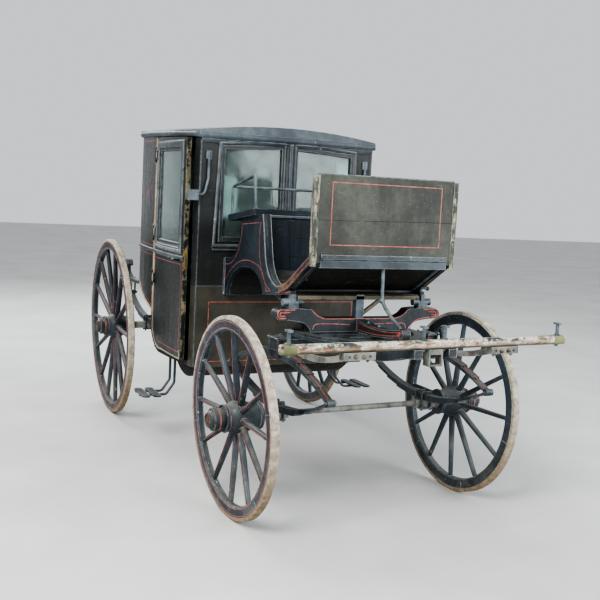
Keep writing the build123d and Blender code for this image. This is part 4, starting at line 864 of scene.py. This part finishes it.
def door_trim(name):
    """Beads, belt, lining, window frame and sash of a door."""
    side, place = SIDES[name], DOORS[name]
    body = name + "_door"
    beads, lines, belt, frames, sash = [Shape() for _ in range(5)]
    front, rear = DOOR_FRONT_X, HINGE_X

    def on_door(line, closed=False, gap=26):
        return side_path("door_" + name, line, side, place, closed, gap)

    edge = inset(DOOR_OUTLINE, 5.5)
    beads.sweep(on_door([(edge[1][0], 640)] + edge[1:], gap=20), bead_section(4.2, 4))
    level = [(front - 3, BELT_Z), (rear + 6, BELT_Z)]
    belt.sweep(on_door(level), stepped_section(13, 8))
    for z in (1214, 1236):
        lines.stripe(on_door([(front - 22, z), (rear + 24, z)]))
    panel = drawn(
        (front - 26, 1148), (front - 26, 622), (-1446, 622), ((rear + 108, 654), (rear + 30, 740)),
        (rear + 30, 1148), gap=14,
    )
    lines.stripe(on_door(panel, closed=True), 3.4, closed=True)
    pane = [(front - 78, 1255), (front - 78, 1838), (rear + 82, 1838), (rear + 82, 1255)]
    ring = on_door(inset(pane, -24), closed=True, gap=60)
    frames.sweep(ring, stepped_section(21, 9), closed=True)
    for z, rise in ((1230, 12), (1221, 10)):
        sill = [(front - 38, z), (rear + 42, z)]
        frames.sweep(on_door(sill), bead_section(4.5, rise))
    looks = place.to_3x3() @ (LEFT * side)
    rows = [(place @ at(x, side * (side_y(x) - 5), z), looks) for x, z in finer(inset(pane, 9), 60, True)]
    sash.sweep(rows, [(-10, -5), (-10, 1), (-7, 3), (6, 3), (10, -1), (10, -5)], closed=True)
    piece("door_beads_" + name, beads, CREAM, body=body)
    piece("door_belt_" + name, belt, MOULDING, body=body)
    piece("door_lining_" + name, lines, RED_ON_DARK, "body_paint", 60, body)
    piece("door_window_frame_" + name, frames, MOULDING, smooth=30, body=body)
    piece("door_sash_" + name, sash, FRAME, smooth=30, body=body)


def door_edge(name):
    """Bare free edge of a door, with its brass latch plate and bolt."""
    wood, brass = Shape(), Shape()
    y = SIDES[name] * (side_y(DOOR_FRONT_X) - 14)
    out = DOORS[name].to_3x3() @ FORWARD

    def upright(ahead, heights):
        return [(DOORS[name] @ at(DOOR_FRONT_X + ahead, y, z), out) for z in heights]

    heights = (586, 760, 1000, 1300, 1600, wall_top(DOOR_FRONT_X) - 12)
    wood.sweep(upright(0, heights), mirrored((13.2, -2), (13.2, 0.6), (11, 1.4)))
    brass.sweep(upright(0, (1120, 1232)), mirrored((9, -1), (9, 2), (8, 2.8)))
    brass.sweep(upright(2.6, (1160, 1190)), mirrored((5, -1), (5, 1), (0, 3.2)))
    for spot, _ in upright(2.6, (1130, 1222)):
        brass.bolt(spot, out, 4, "screw")
    piece("door_edge_" + name, wood, BARE_WOOD, body=name + "_door")
    piece("door_latch_" + name, brass, BRASS, None, body=name + "_door")


def looking_out(x, y, across_x, across_y):
    """A level normal, turned away from the middle of the cabin."""
    normal = Vector((across_x, across_y, 0)).normalized()
    return normal if normal.dot(Vector((x + 1690, y, 0))) >= 0 else -normal


def around_path(z_of, lift=0.0):
    """Points and outward normals on the cabin's outside, from one hinge post round the back to the other."""
    line = drawn(
        (QUARTER_X, side_y(QUARTER_X)), *[p for p in SIDE_LINE if CORNER[0] <= p[0] < QUARTER_X - 4],
        (CORNER_MIDDLE, BACK), (BACK_MIDDLE, (BACK[0], -BACK[1])),
        ((CORNER_MIDDLE[0], -CORNER_MIDDLE[1]), (CORNER[0], -CORNER[1])),
        *[(x, -y) for x, y in reversed(SIDE_LINE) if CORNER[0] < x < QUARTER_X - 4],
        (QUARTER_X, -side_y(QUARTER_X)), gap=16,
    )
    path = []
    for k, (x, y) in enumerate(line):
        (xa, ya), (xb, yb) = beside(line, k)
        normal = looking_out(x, y, yb - ya, xa - xb)
        path.append((at(x, y, z_of(x)) + normal * lift / 1000, normal))
    return path


def end_path(wall, line, gap=40, closed=False):
    """A line of (y, z) places laid on the cabin's front or back."""
    x, looks = {"cabin_front": (-900, -FORWARD), "cabin_back": (-2700, FORWARD)}[wall]
    return laid(wall, [at(x, y, z) for y, z in finer(line, gap, closed)], looks)


def quarter_trim():
    """Belt, beads and lining that run round the rear of the cabin, and a plain lozenge on each quarter."""
    belt, lines, beads, back, red = [Shape() for _ in range(5)]
    belt.sweep(around_path(lambda x: BELT_Z), stepped_section(13, 8))
    for z_of in (lambda x: 1214, lambda x: 1154, lambda x: wall_top(x) - 30, lambda x: sweep_low(x) + 30):
        lines.stripe(around_path(z_of, 0.4)[1:-1])
    beads.sweep(around_path(lambda x: sweep_low(x) + 6), bead_section(6, 5))
    top = wall_top(QUARTER_X)
    for name, side in SIDES.items():
        node = "cabin_quarter_" + name
        post = [(QUARTER_X - 8, 800), (QUARTER_X - 8, top - 6)]
        beads.sweep(side_path(node, post, side), bead_section(4.2, 4))
        for low, high in ((1214, top - 30), (sweep_low(QUARTER_X) + 34, 1154)):
            upright = [(QUARTER_X - 30, low), (QUARTER_X - 30, high)]
            lines.stripe(side_path(node, upright, side))
        lozenge = Shape()
        x, z = -1935, 1560
        for reach, width in ((40, 5.0), (21, 4.4)):
            corners = [(x, z + reach), (x + reach * 0.62, z), (x, z - reach), (x - reach * 0.62, z)]
            ring = side_path(node, corners, side, closed=True, gap=9)
            lozenge.stripe(ring, width, closed=True)
        piece("lozenge_" + name, lozenge, RED_ON_DARK, "body_paint", 60)
    pane = rounded(rectangle(194, 1376, 1724), 60)
    back.sweep(end_path("cabin_back", pane, 30, True), stepped_section(18, 9), closed=True)
    for half, low, high in ((400, 985, 1140), (396, 1240, 1880)):
        ring = rounded(rectangle(half, low, high), 26)
        red.stripe(end_path("cabin_back", ring, 30, True), closed=True)
    piece("rear_belt", belt, MOULDING)
    piece("rear_lining", lines, RED_ON_DARK, "body_paint", 60)
    piece("rear_beads", beads, CREAM)
    piece("back_window_frame", back, MOULDING)
    piece("back_lining", red, RED_ON_DARK, "body_paint", 60)


for side_name in SIDES:
    door_trim(side_name)
    door_edge(side_name)
quarter_trim()


# Roof

def roof_path(out, lift):
    """Closed path round the roof at a distance outside the walls and above their tops."""
    half = [(FRONT_X + out, 562 + out * 0.6), *[(x, y + out) for x, y in SIDE_LINE[1:]]]
    half += [(x - out * 0.8, y + out * 0.6) for x, y in arc(CORNER, CORNER_MIDDLE, BACK, 20)]
    half += [(x - out, y) for x, y in arc(BACK, BACK_MIDDLE, (BACK[0], -BACK[1]), 40) if y > 0]
    line = [p for k, p in enumerate(half) if k % 2 == 0 or k < 2]
    line += [(x, -y) for x, y in reversed(line)]
    path = []
    for k, (x, y) in enumerate(line):
        (xa, ya), (xb, yb) = line[k - 1], line[(k + 1) % len(line)]
        normal = looking_out(x, y, yb - ya, xa - xb)
        path.append((at(x, y, wall_top(x) + lift), normal))
    return path


def roof_trim():
    """Rolled edge and drip moulding round the roof, and the tacked seams of its covering."""
    roll, drip, seam = Shape(), Shape(), Shape()
    roll.sweep(roof_path(16, 15), mirrored((15, -4), (14, 2), (9, 6), (0, 8)), closed=True)
    drip.sweep(roof_path(6, 1.5), bead_section(5, 9), closed=True)
    for x in (-1390, -1850):
        path = laid("roof", [at(x, y, 2300) for y in range(-600, 601, 40)], -UP)
        seam.sweep(path, mirrored((16, -1), (16, 0.8), (14, 1.8)))
    piece("roof_roll", roll, MOULDING, "roof_paint")
    piece("roof_drip", drip, FRAME)
    piece("roof_seams", seam, ROOF, "roof_paint")


roof_trim()


# Front of the cabin

def arch_z(y, base, rise, half):
    return base + rise * (1 - (y / half) ** 2)


def cabin_front_trim():
    """Lining, window frames, sashes, sills and ledges of the front wall."""
    red, frames, sashes, sills, ledge = [Shape() for _ in range(5)]
    wall, sash_foot = "cabin_front", PANE_LOW - 6
    red.stripe(end_path(wall, rectangle(476, 577, 935), 60, True), 4.5, closed=True)

    def on_wall(shape, places, section):
        shape.run([(FRONT_X, y, z) for y, z in places], FORWARD, section)

    for side in (1, -1):
        outer = [(side * 462, PANE_LOW - 30), (side * 441, 1872)]
        outer += [(side * y, arch_z(y, 1871, 24, 441)) for y in range(420, 30, -28)]
        outer += [(side * 34, 1894), (side * 34, PANE_LOW - 30)]
        frames.sweep(end_path(wall, outer, 50), stepped_section(9, 13))
        pane = [(side * 423, sash_foot), (side * 423, 1848)]
        pane += [(side * y, 1848 + 22 * (423 - y) / 384) for y in range(400, 40, -30)]
        pane += [(side * 40, 1870), (side * 40, sash_foot)]
        sashes.sweep(end_path(wall, pane, 60), [(-13, -1), (-13, 4), (-11, 6.5), (9, 6.5), (13, 2), (13, -1)])
        middle = side * 236
        sashes.bar((FRONT_X - 12, middle - 184, PANE_LOW - 3), (FRONT_X + 6, middle + 184, PANE_LOW + 26), 2)
        sill = [(-12, -2), (-12, 16), (-8, 22), (0, 24), (7, 20), (11, 12), (12, -2)]
        on_wall(sills, [(side * y, PANE_LOW - 30) for y in (30, 250, 474)], sill)
        sill = [(-7, -2), (-7, 9), (-3, 13), (4, 12), (7, 7), (7, -2)]
        on_wall(sills, [(side * y, PANE_LOW - 51) for y in (30, 250, 470)], sill)
        on_wall(ledge, [(side * y, 1030) for y in (392, 556)], bead_section(3.2, 3))
        on_wall(ledge, [(side * 391, z) for z in (985, 1200)], bead_section(3.6, 4))
        on_wall(ledge, [(side * 556, z) for z in (549, 1896)], bead_section(4, 2.6))
    mullion = [(0, z) for z in (PANE_LOW - 58, 1550, 1890)]
    on_wall(frames, mullion, mirrored((22, -2), (22, 9), (14, 14), (8, 26)))
    cornice = [(y, arch_z(y, 1882, 0, 560)) for y in range(-556, 557, 139)]
    on_wall(frames, cornice, [(-11, -1), (-11, 6), (-5, 11), (5, 14), (11, 16), (11, -1)])
    piece("front_lining", red, RED_ON_DARK, smooth=60)
    piece("front_window_frames", frames, MOULDING, smooth=30)
    piece("front_sashes", sashes, FRAME, smooth=30)
    piece("front_sills", sills, MOULDING, smooth=30)
    piece("front_ledges", ledge, MOULDING)


cabin_front_trim()

# Driver's boot

SEAT_LINE = ((-912, 1424), (-490, 1475))
FOOT_LINE = ((-68, 1118), (228, 1286))


def sloped(line, x):
    (xa, za), (xb, zb) = line
    return za + (zb - za) * (x - xa) / (xb - xa)


NECK = drawn((-178, 1112), ((-310, 1162), (-372, 1262)), (-432, sloped(SEAT_LINE, -432)), gap=14)
PANEL_LINING = drawn(
    (-985, 1167), ((-793, 1247), (-731, 1414)), (-443, 1437), ((-455, 1330), (-430, 1226)),
    ((-375, 1144), (-264, 1087)), (-334, 1079), ((-388, 1166), (-500, 1209)), ((-760, 1197), (-985, 1072)),
    gap=14,
)


def edge_path(line, y):
    """A line of (x, z) places along a timber's forward edge, looking ahead and up."""
    path = []
    for k, (x, z) in enumerate(line):
        (xa, za), (xb, zb) = beside(line, k)
        normal = Vector((zb - za, 0, xa - xb)).normalized()
        path.append((at(x, y, z), normal if normal.x + normal.z > 0 else -normal))
    return path


def foot_spot(share, y):
    """A place on the underside of the sloping footboard, a share of the way up."""
    x, z = [low + (high - low) * share for low, high in zip(*FOOT_LINE)]
    return x, y, z


def boot_trim():
    """Lining, facings, worn edges, seams, rails, beads and screws of the driver's boot."""
    red, band, seams, iron, rails, beads, worn = [Shape() for _ in range(7)]
    slope = math.atan2(FOOT_LINE[1][1] - FOOT_LINE[0][1], FOOT_LINE[1][0] - FOOT_LINE[0][0])
    rise = Vector((-math.sin(slope), 0, math.cos(slope)))
    toe = [(-214, 1084), (-150, 1096), (-8, 1112), (-4, 1108), (-214, 1084)]
    rail = smooth_line([(-139, 1106), (-40, 1134), (80, 1202), (FOOT_LINE[1][0] + 6, FOOT_LINE[1][1] + 6)], 5)
    cove = drawn((-330, 1112), ((-424, 1168), (-470, 1262)), (-491, 1470), gap=14)
    for side in (1, -1):
        outward = LEFT * side
        y = side * BOOT_FACE
        lining = [(x, y, z) for x, z in finer(PANEL_LINING, 60, True)]
        red.run(lining, outward, flat_section(3.4), closed=True)
        red.run([(x, y, z) for x, z in finer(toe, 60)], outward, flat_section(3.0))
        facing = mirrored((24.4, -2), (24.4, 5), (21, 7), (16, 4.5))
        band.sweep(edge_path(NECK, side * (BOOT_FACE + RETURN_FACE) / 2), facing)
        board = [(-13.5, -60), (-13.5, 4), (13, 4), (13, -60)]
        band.sweep(edge_path(NECK, side * (RETURN_FACE + 14.5)), board)
        for across in (BOOT_FACE - 4, RETURN_FACE + 4):
            worn.sweep(edge_path(NECK, side * across), bead_section(3, 9))
        band.sweep(edge_path(cove, side * 322), bead_section(12, 12))
        worn.run([(-997, y, z) for z in (985, 1084)], outward, bead_section(5, 3))
        beads.run([(-997, y, z) for z in (1084, 1203)], outward, bead_section(5, 3))
        corner = ((182, 1166), (196, 1356), (204, 1456))
        seams.run([(BOX_X, side * across, z) for across, z in corner], FORWARD, flat_section(3))
        for x, z in ((-960, 1140), (-960, 1020), (-700, 1430), (-520, 1446), (-330, 1092), (-230, 1092)):
            iron.bolt(at(x, y, z), outward, 4.5, "screw")
        rails.run([(x, side * RAIL_Y, z) for x, z in rail], rise, mirrored((12, -14), (12, 24), (9, 27)))
        for lift in (-5, 18):
            points = [(at(x, side * 395, z) + rise * lift / 1000, outward) for x, z in rail]
            red.sweep(points, flat_section(3.4, 0.6, 0.8))
        under = [(x, side * BRACKET_Y, z) for x, z in ((-60, 1122), (80, 1202), (226, 1284))]
        beads.run(under, -rise, mirrored((10, -2), (10, 9), (8, 11)))
        for share in (0.12, 0.38, 0.64, 0.9):
            iron.bolt(at(*foot_spot(share, side * BRACKET_Y)) - rise * 11 / 1000, -rise, 5)
    for z in (1354, 1253, 1172):
        seams.run([(BOX_X, y, z) for y in (-192, 0, 192)], FORWARD, flat_section(3))
    for share in (0.2, 0.42, 0.64, 0.86):
        seams.run([foot_spot(share, y) for y in (-338, 0, 338)], -rise, flat_section(3))
    beads.run([(-487, y, 1471) for y in (-330, 0, 330)], FORWARD, mirrored((7, -6), (7, 5), (4, 8)))
    piece("boot_lining", red, RED_ON_DARK, "boot_paint", 60)
    piece("boot_front_bands", band, BOOT, "boot_paint")
    piece("boot_worn_edges", worn, WORN_EDGE, "boot_paint")
    piece("boot_seams", seams, SEAM, "boot_paint", 60)
    piece("boot_beads", beads, BOOT_LIGHT, "boot_paint")
    piece("foot_rails", rails, FOOT_RAIL, "boot_paint")
    piece("boot_screws", iron, IRON, "iron", 60)


def dash_trim():
    """Lining, leather seam, rails, cap and bolts of the dash."""
    red, rails, iron, seam, cap = [Shape() for _ in range(5)]
    ring = [(DASH_X, y, z) for y, z in finer(rectangle(303, 1368, 1665), 80, True)]
    red.run(ring, FORWARD, flat_section(4.4), closed=True)
    wavy = [(DASH_X, y, 1489 + 4 * math.sin(y / 190)) for y in range(-370, 371, 74)]
    seam.run(wavy, FORWARD, flat_section(1.8, 0.35))
    seam.run([(228, y, 1489) for y in (-370, 0, 370)], -FORWARD, flat_section(1.8, 0.35))
    rails.bar((250, -349, 1297), (262, 349, 1322), 2.5)
    rails.bar((229, -351, 1256), (257, 351, 1296), 3)
    rails.bar((222, -366, 1291), (229, 366, 1306), 2)
    cap.bar((226.5, -372, 1698), (253.5, 372, 1705), 2.5)
    for side in (1, -1):
        for z in (1318, 1400, 1560, 1664):
            iron.bolt(at(254.6, side * 385, z), FORWARD, 5)
        iron.bolt(at(262, side * 318, 1309), FORWARD, 4, "screw")
        for z in (1340, 1500, 1640):
            iron.bolt(at(225, side * 385, z), -FORWARD, 4, "screw")
        cap.bar((225, side * 385 - 13.5, 1693), (256, side * 385 + 13.5, 1699), 2)
    piece("dash_lining", red, RED_ON_DASH, "dash_paint", 60)
    piece("dash_seams", seam, SEAM, "dash_paint", 60)
    piece("dash_rails", rails, MOULDING, "dash_paint")
    piece("dash_caps", cap, MOULDING, "dash_paint")
    piece("dash_bolts", iron, RUSTY, "iron", 60)


boot_trim()
dash_trim()


# Bolster and the beam under the boot

def bolster_trim():
    """Lining, scrolls, nuts and hook of the bolster, and the beam and brace under the boot's toe."""
    red, scrolls, iron, wood, brace, hook = [Shape() for _ in range(6)]
    valley = [(277, 1026), (252, 1001), (214, 985), (150, 980)]
    hollow = [(270, 926), (264, 944), (244, 955), (150, 955), (61, 950)]
    nose = [(292, 924), (314, 960), (350, 976), (402, 984), (440, 986)]
    curls = (
        drawn((372, 1027), (428, 1023), ((464, 1005), (442, 985)), (420, 985), gap=8),
        drawn((398, 1015), (434, 1012), ((451, 1003), (437, 995)), (424, 997), gap=6),
    )
    valley += [(-y, z) for y, z in reversed(valley)]
    for face in (1, -1):
        x, looks = face * BOLSTER_FACE, FORWARD * face
        red.run([(x, y, z) for y, z in smooth_line(valley, 4)], looks, flat_section(4.4))
        for side in (1, -1):
            for line in [hollow, nose] if side > 0 else [hollow]:
                red.run([(x, side * y, z) for y, z in smooth_line(line, 4)], looks, flat_section(4.2))
            for line in curls:
                scrolls.run([(x, side * y, z) for y, z in line], looks, bead_section(3.2, 3.4))
    arm = drawn(
        (BOLSTER_FACE, 918), ((275, 925), (460, 950)), ((504, 962), (470, 986)),
        ((250, 964), (BOLSTER_FACE, 976)), gap=14,
    )
    for side in (1, -1):
        y, looks = side * ARM_FACE, LEFT * side
        ring = [(x, y, z) for x, z in finer(inset(arm, 9), 30, True)]
        red.run(ring, looks, flat_section(3.6), closed=True)
        coil = spiral((470, 967), 13, 3, 1.3, math.pi * 0.9, side)
        scrolls.run([(x, y, z) for x, z in coil], looks, bead_section(3, 4))
    for side in (1, -1):
        for way in (-1, 1):
            iron.bolt(at(18.6 * way, side * 374 + 18 * way, 1020), UP, 7, "nut")
        iron.bolt(at(0, side * 418, 1014), UP, 6, "nut")
        for y, way in ((332, -1), (416, 1)):
            iron.bolt(at(0, side * y, 1063), LEFT * side * way, 8, "nut")
    for x in (120, 230, 340):
        iron.bolt(at(x, 0, 972 - 0.02 * x), UP, 6, "nut")
    wood.bar((-24, -352, 1076), (18, 352, 1097), 3)
    brace.run([(-3, 22, 1000), (-3, 128, 1076)], FORWARD, eased(9, -10, 10, 2))
    line = [(-2, 372, 1070), (-2, 386, 1096), (-2, 366, 1116), (-2, 380, 1136), (-2, 408, 1134)]
    hook.tube([at(*place) for place in smooth_line(line, 6)], 7)
    hook.turned(at(-2, 412, 1134), LEFT, [(6, -9), (11, -4), (12, 2), (8, 8), (2, 10)], 14)
    piece("bolster_lining", red, RED_ON_DARK, smooth=60)
    piece("bolster_scrolls", scrolls, RED_ON_DARK, smooth=50)
    piece("bolster_nuts", iron, IRON, "iron")
    piece("toe_beam", wood, CREAM_BEAM)
    piece("toe_brace", brace, CREAM_BEAM)
    piece("bolster_hook", hook, IRON, "iron")


bolster_trim()


# Springs, axles and splinter bar

def clip_set(shape, y, near, far, half_x):
    """Two U-bolts over a leaf pack, from its near side over its far side, with nuts and a plate."""
    way = 1 if far > near else -1
    half = 29
    top, foot = far + 7 * way, near - 16 * way
    corners = [(half, foot), (half, top - 9 * way), (half - 9, top)]
    corners += [(-a, b) for a, b in reversed(corners)]
    for off in (-half_x, half_x):
        shape.tube([at(off, y + a, b) for a, b in smooth_line(corners, 5)], 6, 8)
        for side in (1, -1):
            spot = at(off, y + side * half, foot + 10 * way)
            shape.turned(spot, UP * -way, [(10, -8), (10, 2), (8, 4)], 6)
    low, high = sorted((near - 8 * way, near - 0.4 * way))
    shape.bar((-half_x - 12, y - half - 10, low), (half_x + 12, y + half + 10, high), 2)


def running_gear():
    """Clips, eyes and lining of the springs, the forecarriage bed and the rear irons."""
    iron, red, eyes, rear, rear_red = [Shape() for _ in range(5)]
    bed_low, bed_high = BED
    front_axle = AXLE_TOP["front"]
    rear_x = WHEELS["rear"]["x"]
    for side, name in ((1, "left"), (-1, "right")):
        y = side * SPRING_Y["front"]
        clip_set(iron, y, front_axle - 44, front_axle + 33, 29)
        clip_set(iron, y, bed_high, bed_low - 33, 48)
        for way in (1, -1):
            for z, looks in ((1000, -UP), (300, UP)):
                line = [at(way * x, y, z) for x in range(62, 532, 16)]
                red.stripe(laid("front_spring_" + name, line, looks, FORE), 3.4)
    bed_line = [at(300, y, 850) for y in range(-410, 411, 20)]
    red.stripe(laid("forecarriage_bed", bed_line, -FORWARD, FORE))
    for side in (1, -1):
        coil = [at(300, y, z) for y, z in spiral((side * 440, 856), 17, 6, 1.1, math.pi / 2, side)]
        hits = laid("forecarriage_bed", coil, -FORWARD, FORE)
        red.sweep([(hit, FORE.to_3x3() @ FORWARD) for hit, _ in hits], bead_section(2.4, 3))
        for x in (546, -546):
            for off in (1, -1):
                eyes.bolt(at(x, side * SPRING_Y["front"] + off * 21, 677.9), LEFT * off, 8, "nut")
    for side in (1, -1):
        y = side * SPRING_Y["rear"]
        for off in (1, -1):
            for x, z in ((479, 761.1), (-532.7, 785.7)):
                rear.bolt(at(rear_x + x, y + off * 34, z), LEFT * off, 8, "nut")
        line = [at(x, y, 760) for x in range(-2900, -2320, 20)]
        rear_red.stripe(laid("rear_irons", line, UP), 3.4)
        for way in (1, -1):
            line = [at(rear_x + way * x, y, 300) for x in range(62, 450, 16)]
            rear_red.stripe(laid("rear_springs", line, UP), 3.4)
        coil = spiral((-2905, 988), 21, 7, 1.0, 0.4, 1)
        rear_red.run([(x, y + side * 20.2, z) for x, z in coil], LEFT * side, bead_section(2, 1.6))
    piece("front_spring_clips", iron, IRON, "iron", **ON_FORECARRIAGE)
    piece("front_spring_lining", red, RED_ON_DARK, "iron", 60, "forecarriage")
    piece("front_spring_eyes", eyes, IRON, "iron", **ON_FORECARRIAGE)
    piece("rear_spring_nuts", rear, IRON, "iron")
    piece("rear_iron_lining", rear_red, RED_ON_DARK, "iron", 60)


def splinter_trim():
    """End bands, washers and nuts of the splinter bar."""
    bands, iron, brown = Shape(), Shape(), Shape()
    profile = rounded(rectangle(21.3, -21.3, 21.3), 13)
    for y in (738, -738):
        base = len(bands.points)
        for off, grow in ((-31, 0.2), (-29, 1.0), (29, 1.0), (31, 0.2)):
            for a, b in profile:
                size = 1 + grow / math.hypot(a, b)
                bands.points.append(at(BAR_X + a * size, y + off, BAR_Z + b * size))
        bands.skin(base, len(profile), flipped=None)
    for y in (-738, -58, 58, 738):
        iron.turned(at(BAR_X, y, 977.4), UP, [(17, -1), (17, 3), (13, 6), (10.5, 9)])
    for side in (1, -1):
        for off in (-52, 52):
            iron.bolt(at(BAR_X, side * 400 + off, 901), -UP, 9, "nut")
            iron.bolt(at(704, side * 400 + off, 918), FORWARD, 6)
            brown.bolt(at(704, side * 400 + off * 0.4, 916), FORWARD, 9, "nut")
    piece("bar_bands", bands, BAND, "bar_paint", **ON_FORECARRIAGE)
    piece("bar_washers", iron, IRON, "iron", **ON_FORECARRIAGE)
    piece("bar_rusty_nuts", brown, RUSTY, "iron", **ON_FORECARRIAGE)


running_gear()
splinter_trim()


# Steps, lamp irons and rail

def small_irons():
    """Grips of the step plates, and the bolts of the steps, lamp irons and seat rail."""
    grip, bolts = Shape(), Shape()
    for side in (1, -1):
        for k in range(11):
            for edge in (-1, 1):
                x, y = -1474 + k * 20.8, side * 728 + edge * 34.2
                grip.run([(x, y - 18, 325), (x, y + 18, 325)], UP, bead_section(2.2, 2.2))
        for x in (-1465, -1360):
            bolts.turned(at(x, side * 562, 549), -UP, [(20, -1), (20, 3), (14, 7), (9, 10)], 18)
        for z in (1786, 1810):
            bolts.bolt(at(-991, side * 511, z), FORWARD, 5, "screw")
        for x in (-895, -520):
            z = sloped(SEAT_LINE, x) + 34
            bolts.turned(at(x, side * 390, z), UP, [(17, -2), (17, 2.5), (14, 5), (10, 7)], 18)
    piece("step_grips", grip, IRON, "iron")
    piece("small_bolts", bolts, IRON, "iron")


small_irons()


# Seat

def puffed(name, node, low, high, rows, columns, half_width=None):
    """A buttoned cushion, pulled in at each button: upright, or lying flat where half_width is given."""
    nu, nv, nw = 44, 88, 10
    work = bmesh.new()
    size = [b - a for a, b in zip(low, high)]
    u_axis, w_axis = (0, 2) if half_width else (2, 0)
    grid = {}

    def vertex(i, j, k):
        if (i, j, k) not in grid:
            grid[(i, j, k)] = work.verts.new(shaped(i / nu, j / nv, k / nw))
        return grid[(i, j, k)]

    def shaped(s, t, h):
        u, v = 2 * s - 1, 2 * t - 1
        side = max(abs(u) ** 7, abs(v) ** 12)
        ease = 1 - 0.16 * side
        bulge = math.sin(math.pi * min(1, h)) * 0.02
        pull_u = u * (1 + bulge - 0.05 * abs(2 * h - 1) ** 3)
        pull_v = v * (1 + bulge * 0.6 - 0.02 * abs(2 * h - 1) ** 3)
        crown = 1 - 0.16 * (u * u) ** 2 - 0.12 * (v * v) ** 4
        quilt = 0
        if h > 0.5:
            a, b = s * rows, t * columns
            offset_b = b + 0.5 * (math.floor(a + 0.5) % 2)
            da, db = a - math.floor(a + 0.5), offset_b - math.floor(offset_b + 0.5)
            pit = math.exp(-(da * da + db * db) * 38)
            fold = math.exp(-min(abs(abs(da) - abs(db)), 0.5) ** 2 * 160) * 0.45
            quilt = -(0.2 * pit + 0.07 * fold) * (1 - side) * (h - 0.5) * 2
        wrinkle = 0.012 * noise.noise(Vector((s * 9, t * 18, h * 3)))
        thick = h * (crown * ease + quilt + wrinkle) if h > 0.05 else 0
        point = [0, 0, 0]
        point[u_axis] = low[u_axis] + size[u_axis] * (pull_u + 1) / 2
        half = half_width(point[0]) if half_width else size[1] / 2
        point[1] = (low[1] + high[1]) / 2 + half * pull_v
        point[w_axis] = low[w_axis] + size[w_axis] * min(1.03, thick)
        return at(*point)

    def face(*corners):
        work.faces.new([vertex(*corner) for corner in corners])

    for i in range(nu):
        for j in range(nv):
            for k in (0, nw):
                face((i, j, k), (i + 1, j, k), (i + 1, j + 1, k), (i, j + 1, k))
    for k in range(nw):
        for i in range(nu):
            for j in (0, nv):
                face((i, j, k), (i + 1, j, k), (i + 1, j, k + 1), (i, j, k + 1))
        for j in range(nv):
            for i in (0, nu):
                face((i, j, k), (i, j + 1, k), (i, j + 1, k + 1), (i, j, k + 1))
    bmesh.ops.recalc_face_normals(work, faces=work.faces)
    mesh = bpy.data.meshes.new(name)
    work.to_mesh(mesh)
    work.free()
    for polygon in mesh.polygons:
        polygon.use_smooth = True
    mesh.materials.append(CLOTH)
    made = linked(name, mesh)
    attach(made, "carriage_body")
    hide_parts(node)


puffed(
    "seat_cushion_padded", "seat_cushion", (-2220, -590, SEAT_TOP), (-1718, 590, SEAT_TOP + 106), 4, 9,
    half_width=lambda x: side_y(x) - 40,
)
puffed("seat_back_padded", "seat_backrest", (-2334, -466, SEAT_TOP), (-2230, 466, SEAT_TOP + 428), 4, 8)


# Camera, lights and floor

PICTURE = 600
FOCAL, MIDDLE_X, MIDDLE_Y = 923.89, 331.73, 294.69
ROLL = 0.0542


def photo_camera():
    """Camera where the photograph was taken from."""
    place = Vector((4.2033, -2.209, 1.6029))
    aim = Vector((-0.35, 0, 1.0)) - place
    azimuth = math.atan2(aim.y, aim.x) - 0.0025
    elevation = math.atan2(aim.z, math.hypot(aim.x, aim.y)) + 0.0115
    level = math.cos(elevation)
    ahead = Vector((level * math.cos(azimuth), level * math.sin(azimuth), math.sin(elevation)))
    right = ahead.cross(UP).normalized()
    above = right.cross(ahead)
    across = math.cos(ROLL) * right + math.sin(ROLL) * above
    upward = -math.sin(ROLL) * right + math.cos(ROLL) * above
    data = bpy.data.cameras.new("camera")
    data.sensor_width = 36
    data.lens = FOCAL * 36 / PICTURE
    data.shift_x = (PICTURE / 2 - MIDDLE_X) / PICTURE
    data.shift_y = -(PICTURE / 2 - MIDDLE_Y) / PICTURE
    data.clip_start, data.clip_end = 0.1, 60
    camera = linked("camera", data)
    axes = Matrix((across, upward, -ahead)).transposed().to_4x4()
    camera.matrix_world = Matrix.Translation(place + KINGPIN) @ axes
    bpy.context.scene.camera = camera


def soft_light(name, place, aim, size, power, colour):
    data = bpy.data.lights.new(name, "AREA")
    data.size, data.energy, data.color = size, power, colour
    light = linked(name, data)
    light.location = place
    light.rotation_mode = "QUATERNION"
    light.rotation_quaternion = (Vector(aim) - Vector(place)).to_track_quat("-Z", "Y")


def floor():
    mesh = bpy.data.meshes.new("floor")
    mesh.from_pydata([(-30, -30, 0), (30, -30, 0), (30, 30, 0), (-30, 30, 0)], [], [(0, 1, 2, 3)])
    plane = linked("floor", mesh)
    f = Finish("pale_floor")
    colour = f.mix(f.cloud(1.2), (0.50, 0.50, 0.49), (0.56, 0.56, 0.55))
    mesh.materials.append(f.finish(colour, f.cloud(4, 3, start=0.7, end=0.9)))


photo_camera()
floor()
soft_light("key", (5.5, -6.0, 6.5), (0, 0, 1), 4.0, 900, (1.0, 0.98, 0.95))
soft_light("fill", (6.5, 4.5, 3.5), (0, 0, 1), 5.0, 420, (0.93, 0.97, 1.0))
soft_light("back", (-6.5, -1.5, 5.5), (0, 0, 1.2), 4.0, 380, (0.95, 0.98, 1.0))
world = bpy.data.worlds.new("studio")
world.use_nodes = True
world.node_tree.nodes["Background"].inputs["Color"].default_value = (0.80, 0.83, 0.86, 1)
world.node_tree.nodes["Background"].inputs["Strength"].default_value = 0.75
bpy.context.scene.world = world
bpy.context.scene.view_settings.look = "AgX - High Contrast"
